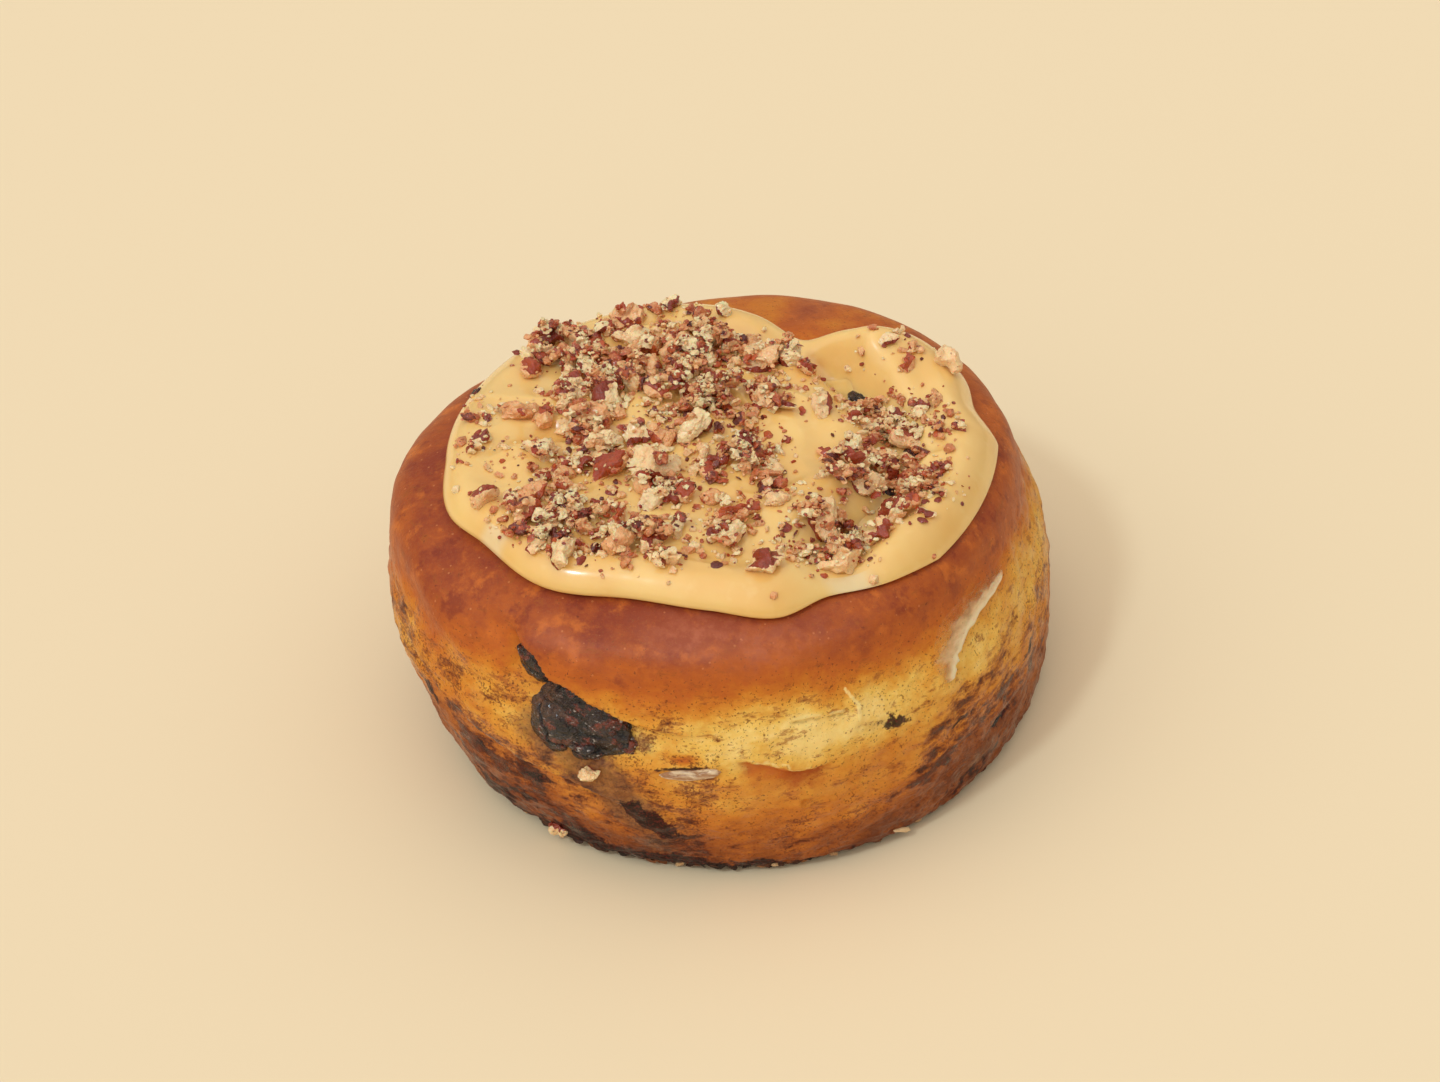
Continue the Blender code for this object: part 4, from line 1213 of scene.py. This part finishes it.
def chocolateFinish():
    material, shader, place = startFinish(
        "chocolateFinish", Specular_IOR_Level=0.7, Coat_Weight=0.25, Coat_Roughness=0.08
    )
    cloud, fine = place.grain(3.6 * mm, 4, 0.6), place.grain(0.9 * mm, 4, 0.65)
    red = place.grain(2.2 * mm, 4, 0.6).between(0.5, 0.6)
    bloom = place.scaled(1, 1, 1.6).grain(2.6 * mm, 5, 0.7)
    veil = place.reads("veiled") + (cloud - 0.5) * 0.9
    colour = cloud.between(0.42, 0.6).mix(paint(8, 4, 4), paint(40, 18, 14)).under(
        (red, 0.8, fine.between(0.4, 0.62).mix(paint(80, 24, 16), paint(146, 56, 30))),
        (bloom.between(0.56, 0.64), 0.5, paint(112, 88, 76)),
        # pale grey flecks of bloom, which also serve as painted glints
        (place.scaled(1, 1, 2).flecks(1.1 * mm, 0.26), 0.7, paint(206, 194, 184)),
        (veil.between(0.35, 0.75), 0.7, fine.between(0.4, 0.65).mix(paint(64, 40, 30), paint(116, 76, 48))),
        # near black along the cracks: painted shade in them
        (place.reads("crack").between(0.2, 0.7), 1.0, paint(10, 6, 5)),
    )
    drive(shader, "Base Color", colour)
    drive(shader, "Roughness", 0.13 + fine.between(0.4, 0.7) * 0.22)
    bumped(shader, fine + cloud * 1.4 + bloom * 0.8, 1.1 * mm, 1.0)
    return material


def makeChocolate():
    look = chocolateLook
    lumps, pits = [makeRibbon()], []
    for number, spot in enumerate(look["lumps"]):
        veiled = number < look["veiled"]
        lumps.append(lumpOnSide(f"chocolateLump{number}", spot, 3.0 + 5 * number, look["sunk"], veiled))
    syrup = lumpOnSide("syrupPool", look["syrup"], 77.0)
    syrup.data.materials.append(syrupFinish())
    for number, spot in enumerate(look["pits"]):
        pits.append(lumpInIcing(f"chocolatePit{number}", spot, 31.0 + 5 * number, 40 * number))
    finish = chocolateFinish()
    for piece in lumps + pits:
        piece.data.materials.append(finish)
    return lumps + [syrup] + pits


def syrupFinish():
    # wrinkled cinnamon syrup that has set in a slit of the crust
    material, shader, place = startFinish(
        "syrupFinish", Specular_IOR_Level=0.6, Coat_Weight=0.8, Coat_Roughness=0.06
    )
    wrinkles = place.scaled(0.7, 0.7, 1.8).grain(2 * mm, 4, 0.6)
    drive(shader, "Base Color", wrinkles.between(0.36, 0.62).mix(paint(168, 116, 76), paint(236, 212, 178)))
    drive(shader, "Roughness", 0.12 + wrinkles * 0.12)
    bumped(shader, wrinkles, 0.8 * mm, 0.8)
    return material


# icing

icingLook = {
    "columns": 520,
    "rows": 150,
    "rimRows": 26,
    "under": -58,  # how far round the rim turns back, in degrees
    "rimLow": 0.36,  # share of the thickness where the rim reaches furthest out
    "film": [(-57, 7), (-139, 5)],  # where the rim is a whitish film: angle and spread
    "filmReach": 2.6 * mm,
    "underRings": (0.93, 0.8, 0.65, 0.5, 0.35, 0.2, 0.1, 0),
}


def makeIcing():
    look = icingLook
    angles = unevenAngles(look["columns"])[None, :]
    edge = icingEdge(angles)
    reach, clear = icingShape["edgeRound"], icingShape["clear"]
    share = np.linspace(0, 1, look["rows"])[:, None]
    radius = (edge - reach) * share
    top = crownPoint(angles, radius, clear + foldedThickness(angles, radius, rounded=False))
    # round over the rim and back in under it
    swing = np.radians(np.linspace(90, look["under"], look["rimRows"]))[1:, None]
    inside = reach * (1 - np.cos(swing))
    thick = icingThickness(angles, edge - inside, rounded=False)
    low = look["rimLow"]
    over = low + (1 - low) * np.sin(swing)
    back = low * (1 + np.sin(swing) / math.sin(math.radians(-look["under"])))
    rim = crownPoint(angles, edge - inside, clear + thick * np.where(swing > 0, over, back))
    inner = np.array(look["underRings"])[:, None]
    under = crownPoint(angles, (edge - icingShape["contactIn"]) * inner, clear)
    film = sum(bump(turnApart(angles, at), spread) for at, spread in look["film"])
    onTop = film * bump(edge - radius, look["filmReach"])
    film = np.concatenate([onTop, film + 0 * inside, film + 0 * inner])
    icing = wrappedGrid("icingPool", np.concatenate([top, rim, under]), {"film": film})
    icing.data.materials.append(icingFinish())
    return icing


def icingFinish():
    material, shader, place = startFinish(
        "icingFinish", Subsurface_Weight=0.25, Subsurface_Scale=0.003, Coat_Weight=0.5, Coat_Roughness=0.12,
        Specular_IOR_Level=0.4,
    )
    shader.inputs["Subsurface Radius"].default_value = (1.0, 0.7, 0.3)
    cloud = place.grain(16 * mm, 3, 0.5)
    fine = place.grain(2.5 * mm, 3, 0.5)
    colour = cloud.between(0.35, 0.7).mix(paint(243, 200, 122), paint(236, 184, 102)).under(
        (fine.between(0.55, 0.8), 0.3, paint(248, 212, 144)),
        (place.reads("film").between(0.35, 0.9), 0.6, paint(236, 212, 168)),
    )
    drive(shader, "Base Color", colour)
    drive(shader, "Roughness", 0.24 + (cloud - 0.5) * 0.12)
    bumped(shader, place.grain(6 * mm, 2) * 0.7 + fine * 0.15, 0.4 * mm, 0.5)
    return material


# pecans

pecanLook = {
    "seed": 11,
    "count": 88,
    "largest": 7.4 * mm,
    "smallest": 3.6 * mm,
    "proud": 0.3,
    "spacing": 0.62,
    "rim": 4.5 * mm,
    "heaps": [
        (-20, 24, 7, 1), (-7, 28, 7, 0.9), (-14, 12, 7, 0.9), (-3, 13, 7, 0.8), (4, 21, 5, 0.9),
        (14, 17, 4, 0.5), (-16, 0, 6, 0.9), (1, 2, 7, 0.7), (11, 7, 5, 0.5), (8, -9, 5, 0.9),
        (-3, -16, 6, 0.6), (-17, -14, 6, 0.7), (-25, -10, 4, 0.8), (-24, -26, 6, 1),
        (-10, -30, 6, 0.9), (6, -25, 6, 0.9), (20, -27, 6, 1), (30, -13, 6, 1), (36, -12, 5, 0.9),
        (28, 5, 5, 0.9), (37, 3, 4, 0.8), (-33, 5, 6, 0.12), (34, 21, 7, 0.12), (-35, -7, 5, 0.12),
    ],  # x, y and spread in mm, and how full
    "large": [
        (-24.5, 27, 6.8, 5, 4.2, 10), (7.3, -23.2, 9, 3.4, 3.4, 4), (10.7, -36, 6.6, 5.6, 4, -30),
        (22.6, -36, 8, 5.2, 4.4, -12), (-7, -31.3, 8, 4, 4.4, 25), (-12.4, -32.5, 5.4, 4.6, 4.6, 60),
        (-26.5, -25, 6.4, 4.8, 4.4, -20), (3.8, 19.7, 5.6, 4.8, 4.4, 30), (9.4, 21.6, 6.2, 4.4, 4, 5),
        (7.8, -10.1, 6, 4.8, 4.2, 50), (28.5, -6.7, 6.2, 4.6, 4.4, 80), (18.6, -23.4, 7.4, 5, 4.6, 70),
        (28.7, -25, 5.8, 4.6, 4.4, -40), (-16.8, 18.3, 8, 4.2, 3.6, 35), (-27.7, 15.5, 5, 4, 3.6, -20),
        (-24.8, -9.3, 6.2, 4.6, 4.2, 15), (40.6, 17, 5.6, 4, 4, 60), (-20.7, -34.4, 5.2, 4, 4.2, 75),
        (-1.1, 12.6, 5, 3.8, 3.6, 20), (-6.3, 6.6, 5, 3.8, 3.6, -60),
    ],  # x, y, length, width, thickness in mm, turn
    # 1 where that piece shows mostly its skin
    "skins": [0, 1, 1, 0, 1, 0, 0, 1, 0, 1, 1, 0, 0, 1, 1, 0, 0, 0, 1, 1],
    "grow": 1.06,
    "side": [(-127, 3.2, 4.2), (-113, 24.4, 4.4)],  # baked onto the side: angle, height, size
    "sideTone": 0.16,
    "tilt": 0.35,
    # scattered between them, largest first: how many, least and most length in mm, how many are small,
    # share astray, share between clumps, and how far in from the icing's edge, in mm
    "chunks": (370, 1.9, 4.2, 1.3, 0.004, 0.15, 3.4),
    "bits": (1350, 0.9, 2.3, 1.3, 0.005, 0.3, 2.4),
    "crumbs": (4500, 0.35, 1.15, 1.6, 0.003, 0.35, 1.2),
    "width": (0.45, 0.95),  # of a scattered piece, as shares of its length
    "thickness": (0.35, 0.75),
    "tipped": 0.9,
    "clump": 6.5,  # in mm
    "tries": 60,  # for each scattered piece
    # where the small pieces lie thicker or thinner than the heaps: x, y, spread, how much
    "uneven": [
        (-9, 28, 14, -0.82), (30, -3, 12, 1.5), (24, 9, 7, 0.9), (20, -24, 6, 0.7), (2, 2, 13, 0.5),
    ],
    "dark": (0.15, 0.86),  # share of the small pieces that are brown or dark, and their least tone
    "tone": (0.33, 0.9, 0.25, 3.2),  # of the others: middle, spread in patches, spread by piece, patch in mm
    "scrapFaces": 48,
    "cell": 0.35 * mm,  # of the map of heights
    "mapReach": 50 * mm,
    "shifts": {3: (-0.8, 3.7)},  # pieces that lie a little off the solid's: number, x and y in mm
    # colours by tone, from the palest pieces to the darkest
    "flesh": [
        (0.0, paint(254, 222, 168)), (0.25, paint(250, 202, 144)), (0.45, paint(238, 172, 112)),
        (0.65, paint(220, 144, 88)), (0.83, paint(200, 114, 64)), (0.89, paint(186, 80, 34)),
        (0.96, paint(154, 56, 28)), (1.0, paint(110, 38, 24)),
    ],
    "husk": [
        (0.0, paint(134, 44, 20)), (0.35, paint(166, 60, 22)), (0.6, paint(198, 90, 34)),
        (0.8, paint(100, 34, 20)),
    ],
    # single crumbs that lie apart: x, y, size, tone
    "single": [
        (11.5, -41.2, 1.4, 0.5), (26.5, -33.8, 1.8, 0.2), (36, -27, 1.0, 0.8), (-38, -16.6, 1.6, 0),
    ],
}


def heapedAt(x, y, name="heaps"):
    return sum(
        full * math.exp(-(((x / mm - hx) ** 2 + (y / mm - hy) ** 2) / spread**2))
        for hx, hy, spread, full in pecanLook[name]
    )


def patchAt(x, y, size, start):
    # soft noise over the crown, in patches of this size in mm
    return noise.noise((x / mm / size, y / mm / size, start))


def drawPlace(draw, rim):
    angle, reach = draw.uniform(-180, 180), math.sqrt(draw.random())
    radius = reach * (float(icingEdge(angle)) - rim)
    return radius * math.cos(math.radians(angle)), radius * math.sin(math.radians(angle))


def pecanList():
    # the pieces that the solid has too, by the same draw, the largest first
    look = pecanLook
    draw = random.Random(look["seed"])
    nuts = [tuple(value * mm for value in nut[:5]) + (nut[5],) for nut in look["large"]]
    given = len(nuts)
    while len(nuts) < given + look["count"]:
        share = (len(nuts) - given) / look["count"]
        size = look["largest"] + (look["smallest"] - look["largest"]) * share**0.8
        length = size * draw.uniform(0.9, 1.1)
        x, y = drawPlace(draw, look["rim"])
        shape = (length, length * draw.uniform(0.5, 0.85), length * draw.uniform(0.45, 0.7))
        turn, keep = draw.uniform(0, 360), draw.random()
        near = look["spacing"] / 2
        crowded = any(math.hypot(x - nut[0], y - nut[1]) < near * (length + nut[2]) for nut in nuts)
        if keep < heapedAt(x, y) and not crowded:
            nuts.append((x, y, *shape, turn))
    return nuts


def chopFlat(draw, cuts, middle, radius, nearest, furthest):
    # in edit mode, chops flat sides off the piece at random
    for cut in range(cuts):
        bpy.ops.mesh.select_all(action="SELECT")
        normal = Vector([draw.uniform(-1, 1) for axis in range(3)]).normalized()
        far = Vector(middle) + normal * radius * draw.uniform(nearest, furthest)
        bpy.ops.mesh.bisect(plane_co=far, plane_no=normal, use_fill=True, clear_outer=True)


def choppedBall(draw, middle, radius, cuts):
    ball = added(bpy.ops.mesh.primitive_ico_sphere_add, subdivisions=3, radius=radius, location=middle)
    bpy.ops.object.transform_apply(location=True)
    bpy.ops.object.mode_set(mode="EDIT")
    chopFlat(draw, cuts, middle, radius, 0.3, 0.65)
    bpy.ops.object.mode_set(mode="OBJECT")
    return ball


def choppedShape(seed, cuts, skinned, voxel, rough, faces):
    # chopped balls merged into one craggy lump; gives its points, triangles and skin
    draw = random.Random(seed)
    balls = []
    for number in range(3):
        middle = (0.2 * (number - 1), draw.uniform(-0.1, 0.1), draw.uniform(-0.08, 0.08))
        balls.append(choppedBall(draw, middle, draw.uniform(0.3, 0.42), cuts))
    for ball in balls:
        ball.select_set(True)
    bpy.ops.object.join()
    piece = bpy.context.active_object
    applied(piece, "REMESH", mode="VOXEL", voxel_size=voxel)
    # the brown skin covers one side of the piece, the rest is broken flesh
    up = 1.2 if skinned else draw.uniform(-1, 0.2)
    side = np.array(Vector((draw.uniform(-0.3, 0.3), draw.uniform(-1, 1), up)).normalized())
    points = pointsOf(piece)
    covered = smooth(0.08, 0.16, points @ side) if skinned else smooth(0.2, 0.26, points @ side)
    broken = grainAt(points, 0.3, seed) + 0.8 * np.abs(grainAt(points, 0.15, seed + 3))
    broken = broken + 0.7 * grainAt(points, 0.07, seed + 5)
    ridges = 0.07 * covered * np.abs(np.sin(points[:, 1] * 13 + grainAt(points, 0.5, seed)))
    points = points * (1 + rough * (1 - 0.7 * covered) * broken - ridges)[:, None]
    piece.data.vertices.foreach_set("co", points.ravel())
    applied(piece, "DECIMATE", ratio=min(1, faces / (2 * len(piece.data.polygons))))
    applied(piece, "TRIANGULATE")
    points = pointsOf(piece)
    covered = points @ side + 0.1 * grainAt(points, 0.2, seed + 1)
    skin = smooth(0.08, 0.16, covered) if skinned else smooth(0.15, 0.21, covered)
    points /= np.abs(points).max(0) * 2
    triangles = trianglesOf(piece)
    bpy.data.objects.remove(piece)
    return points, triangles, skin


def smallShape(seed, level, cuts, skin):
    # a jagged scrap: an icosphere with its corners pulled about and a few sides chopped flat
    draw = random.Random(seed)
    piece = added(bpy.ops.mesh.primitive_ico_sphere_add, subdivisions=level, radius=0.5)
    if cuts:
        bpy.ops.object.mode_set(mode="EDIT")
        chopFlat(draw, cuts, (0, 0, 0), 1, 0.2, 0.36)
        bpy.ops.mesh.select_all(action="SELECT")
        bpy.ops.mesh.quads_convert_to_tris()
        bpy.ops.object.mode_set(mode="OBJECT")
        applied(piece, "DECIMATE", ratio=pecanLook["scrapFaces"] / len(piece.data.polygons))
    points = pointsOf(piece)
    points = points * np.array([[draw.uniform(0.8, 1.22)] for point in points])
    triangles = trianglesOf(piece)
    bpy.data.objects.remove(piece)
    return points, triangles, np.full(len(points), float(skin))


def sliverShape(seed):
    # a thin curled scrap of skin
    points, triangles, skin = smallShape(seed, 2, 0, 1)
    curl = 0.5 * points[:, 0] ** 2 + 0.7 * points[:, 1] ** 2
    return points * np.array([1, 1, 0.35]) - curl[:, None] * np.array([0, 0, 1]), triangles, skin


def pecanShapes():
    return {
        "large": [choppedShape(20 + n, 5, n < 6, 0.036, 0.16, 1600) for n in range(12)],
        "chunks": [choppedShape(40 + n, 5, n % 3 == 0, 0.06, 0.2, 400) for n in range(12)],
        "bits": [smallShape(60 + n, 2, 3, 0) for n in range(9)] + [sliverShape(70 + n) for n in range(3)],
        "crumbs": [smallShape(80 + n, 1, 0, n % 7 == 3) for n in range(14)],
    }


class Heap:
    # heights of all that lies on the crown so far, on a grid of cells
    def __init__(self):
        self.step, self.reach = pecanLook["cell"], pecanLook["mapReach"]
        line = np.arange(-self.reach, self.reach, self.step)
        self.x, self.y = np.meshgrid(line, line, indexing="ij")
        angle, radius = np.degrees(np.arctan2(self.y, self.x)), np.hypot(self.x, self.y)
        edge = icingEdge(angle)
        self.height = icingPoint(angle, np.minimum(radius, edge - 0.2 * mm))[..., 2]
        self.height[radius > edge] = 0

    def window(self, x, y, half):
        i, j = (max(0, int((place - half + self.reach) / self.step)) for place in (x, y))
        count = max(2, int(2 * half / self.step) + 2)
        return slice(i, i + count), slice(j, j + count)

    def rest(self, x, y, half, share):
        # where something this wide comes to rest
        at = self.window(x, y, half)
        found = self.height[at]
        near = np.hypot(self.x[at] - x, self.y[at] - y) < max(half, 0.3 * mm)
        if not near.any() or found[near].min() <= 0:
            return None
        return float(np.quantile(found[near], share))

    def add(self, x, y, half, top, thick):
        at = self.window(x, y, half)
        apart = np.hypot(self.x[at] - x, self.y[at] - y) / half
        dome = top - thick * 0.7 * np.clip(apart, 0, 1) ** 2
        self.height[at] = np.where(apart < 1, np.maximum(self.height[at], dome), self.height[at])


def scattered(heap, draw, shapes, sizes):
    # places for small pieces, where the heaps are, each at rest on what is there already
    look = pecanLook
    count, least, most, small, stray, spread, rim = sizes
    places = []
    for attempt in range(look["tries"] * count):
        if len(places) == count:
            break
        x, y = drawPlace(draw, rim * mm)
        # clumps with bare icing between them
        clump = float(smooth(-0.25, 0.3, patchAt(x, y, look["clump"], 3.7)))
        heaped = heapedAt(x, y) * (1 + heapedAt(x, y, "uneven"))
        if draw.random() > heaped * (spread + (1 - spread) * clump) + stray:
            continue
        length = (least + (most - least) * draw.random() ** small) * mm
        base = heap.rest(x, y, length * 0.42, 0.6)
        if base is None:
            continue
        width, thick = length * draw.uniform(*look["width"]), length * draw.uniform(*look["thickness"])
        rise = base + thick * 0.2
        turned = Matrix.Rotation(draw.uniform(0, 6.3), 4, "Z")
        turned = turned @ Matrix.Rotation(draw.uniform(-look["tipped"], look["tipped"]), 4, "X")
        where = Matrix.Translation((*leaned(x, y, rise), rise)) @ turned
        where = where @ Matrix.Diagonal((length, width, thick, 1))
        tone = toneAt(x, y, draw)
        places.append((draw.randrange(shapes), where, tone))
        heap.add(x, y, length * 0.45, rise + thick * 0.4, thick)
    return places


def toneAt(x, y, draw):
    # pale in patches, with some pieces brown or dark
    share, darkest = pecanLook["dark"]
    middle, patches, pieces, patch = pecanLook["tone"]
    tone = middle + patches * patchAt(x, y, patch, 8.3) + draw.uniform(-pieces, pieces)
    return draw.uniform(darkest, 1) if draw.random() < share else min(max(tone, 0), darkest)


def largePlaces(heap, draw):
    # the solid's own pieces, each on the icing where the solid has it
    look = pecanLook
    places = []
    for index, (x, y, length, width, thickness, turn) in enumerate(pecanList()):
        shiftX, shiftY = look["shifts"].get(index, (0, 0))
        x, y = x + shiftX * mm, y + shiftY * mm
        point, normal = icingFrame(x, y)
        tilt = [draw.uniform(-look["tilt"], look["tilt"]) for axis in range(2)]
        # the solid's draw shapes its corners here, so as many draws are passed over
        for corner in range(12):
            draw.uniform(-1, 1)
        tilted = (normal + Vector((*tilt, 0))).normalized()
        skinned = look["skins"][index] if index < len(look["skins"]) else index % 10 in (1, 4, 7)
        scale = Matrix.Diagonal((*[size * look["grow"] for size in (length, width, thickness)], 1))
        where = facing(point + normal * thickness * look["proud"], tilted, turn) @ scale
        places.append((index % 6 + (0 if skinned else 6), where, draw.random() * 0.5))
        heap.add(x, y, math.sqrt(length * width) / 2, point.z + thickness * 0.75, thickness)
    return places


def singleCrumbs():
    places = []
    for x, y, size, tone in pecanLook["single"]:
        point, normal = icingFrame(x * mm, y * mm)
        places.append((0, facing(point, normal, 30) @ Matrix.Scale(size * mm, 4), tone))
    return places


def bakedPlaces():
    places = []
    for number, (angle, height, size) in enumerate(pecanLook["side"]):
        scale = Matrix.Diagonal((size * mm, 0.8 * size * mm, 0.8 * size * mm, 1))
        where = onSide(angle, height, 20, 0.16 * size) @ scale
        places.append((6 + number, where, pecanLook["sideTone"]))
    return places


def makePecans():
    look = pecanLook
    draw = random.Random(look["seed"] + 1)
    finish = pecanFinish()
    heap = Heap()
    large = largePlaces(heap, draw)
    shapes = pecanShapes()
    pieces = [joinedCopies("pecanPieces", shapes["large"], large, finish)]
    for name, kind in (("pecanChunks", "chunks"), ("pecanBits", "bits"), ("pecanCrumbs", "crumbs")):
        places = scattered(heap, draw, len(shapes[kind]), look[kind])
        if kind == "crumbs":
            places += singleCrumbs()
        pieces.append(joinedCopies(name, shapes[kind], places, finish))
    return pieces, joinedCopies("sidePecans", shapes["large"], bakedPlaces(), finish)


def pecanFinish():
    material, shader, place = startFinish(
        "pecanFinish", Subsurface_Weight=0.3, Subsurface_Scale=0.0012, Specular_IOR_Level=0.5,
        Coat_Weight=0.3, Coat_Roughness=0.12,
    )
    mealy, fine = place.grain(0.9 * mm, 4, 0.7), place.grain(0.35 * mm, 3, 0.6)
    tone = (place.reads("tone") + (place.grain(1.8 * mm, 5, 0.7) - 0.5) * 0.9).clamped()
    skin = (place.reads("skin") + (mealy - 0.5) * 0.5).between(0.4, 0.6)
    # browner where the flesh is bruised, with dark shreds of skin and fine pale grains, which are also
    # painted highlights
    flesh = tone.ramp(pecanLook["flesh"]).under(
        (mealy.between(0.56, 0.66), 0.4, paint(202, 120, 68)),
        (place.scaled(1, 1, 1.6).flecks(0.9 * mm, 0.2), 0.8, paint(146, 54, 26)),
        (fine.between(0.56, 0.68), 0.35, paint(255, 232, 186)),
    )
    husk = tone.ramp(pecanLook["husk"]).under((mealy.between(0.52, 0.68), 0.6, paint(88, 28, 18)))
    drive(shader, "Base Color", skin.mix(flesh, husk))
    drive(shader, "Roughness", 0.36 - skin * 0.16 + (mealy - 0.5) * 0.24)
    bumped(shader, mealy + fine * 0.7, 0.34 * mm, 0.9)
    return material


# stage, light and camera

stageLook = {
    "floor": paint(240, 218, 180),
    "target": (-0.8 * mm, -0.5 * mm, 30.3 * mm),
    "distance": 0.6,
    "elevation": 38,
    "lens": 90.55,
    "shadow": (0.55, 0.67),  # sideways for each metre of height
    "key": 0.68,
    "keySize": 6,  # degrees
    "keyColour": (0.7, 0.88, 1.0),
    "sky": (0.16, 0.86),  # brightness at the horizon and overhead
    "glow": 0.75,  # how much brighter the sky is towards the key light
    "skyColour": (1.01, 0.974, 0.938, 1),
}


def makeStage():
    floor = added(bpy.ops.mesh.primitive_plane_add, size=6)
    floor.name = "tableTop"
    material, shader, place = startFinish("tableFinish", Roughness=0.85, Specular_IOR_Level=0.0)
    tint = place.grain(0.05, 2)
    drive(shader, "Base Color", (tint * 0.05).mix(stageLook["floor"], paint(242, 222, 190)))
    floor.data.materials.append(material)


def makeLights():
    world = bpy.data.worlds.new("studio")
    bpy.context.scene.world = world
    world.use_nodes = True
    back = world.node_tree.nodes["Background"]
    back.inputs["Color"].default_value = stageLook["skyColour"]
    tree = world.node_tree
    direction = Wire(tree, tree.nodes.new("ShaderNodeTexCoord").outputs["Generated"])
    up = direction.node("ShaderNodeSeparateXYZ", 2, {0: direction})
    low, high = stageLook["sky"]
    x, y = stageLook["shadow"]
    towards = Vector((-x, -y, 1)).normalized()
    lobe = direction.node("ShaderNodeVectorMath", 1, {0: direction, 1: towards}, operation="DOT_PRODUCT")
    sky = low + up.sums("MAXIMUM", up, 0.0) * (high - low) + lobe.between(0.45, 1.0) * stageLook["glow"]
    tree.links.new(sky.socket, back.inputs["Strength"])
    sun = bpy.data.lights.new("key", "SUN")
    sun.energy = stageLook["key"]
    sun.angle = math.radians(stageLook["keySize"])
    sun.color = stageLook["keyColour"]
    lamp = bpy.data.objects.new("key", sun)
    lamp.rotation_euler = Vector((x, y, -1)).to_track_quat("-Z", "Y").to_euler()
    bpy.context.scene.collection.objects.link(lamp)


def makeCamera():
    lens = bpy.data.cameras.new("view")
    lens.lens = stageLook["lens"]
    lens.sensor_width = 36
    lens.clip_end = 10
    camera = bpy.data.objects.new("view", lens)
    high = math.radians(stageLook["elevation"])
    away = Vector((0, -math.cos(high), math.sin(high))) * stageLook["distance"]
    camera.location = Vector(stageLook["target"]) + away
    camera.rotation_euler = (-away).to_track_quat("-Z", "Y").to_euler()
    bpy.context.scene.collection.objects.link(camera)
    bpy.context.scene.camera = camera


makeStage()
makeLights()
makeCamera()
bpy.context.scene.view_settings.view_transform = "Standard"
print("stage ready")

belongs(makeDough(), "dough")
belongs(makeFlap(), "dough")
belongs(makeFlakes(), "dough")
print("dough ready")
for piece in makeChocolate():
    belongs(piece, "chocolate_filling")
print("chocolate ready")
belongs(makeIcing(), "caramel_icing")
print("icing ready")
toppings, sidePecans = makePecans()
for piece in toppings:
    belongs(piece, "caramel_icing")
belongs(sidePecans, "dough")
print("pecans ready")
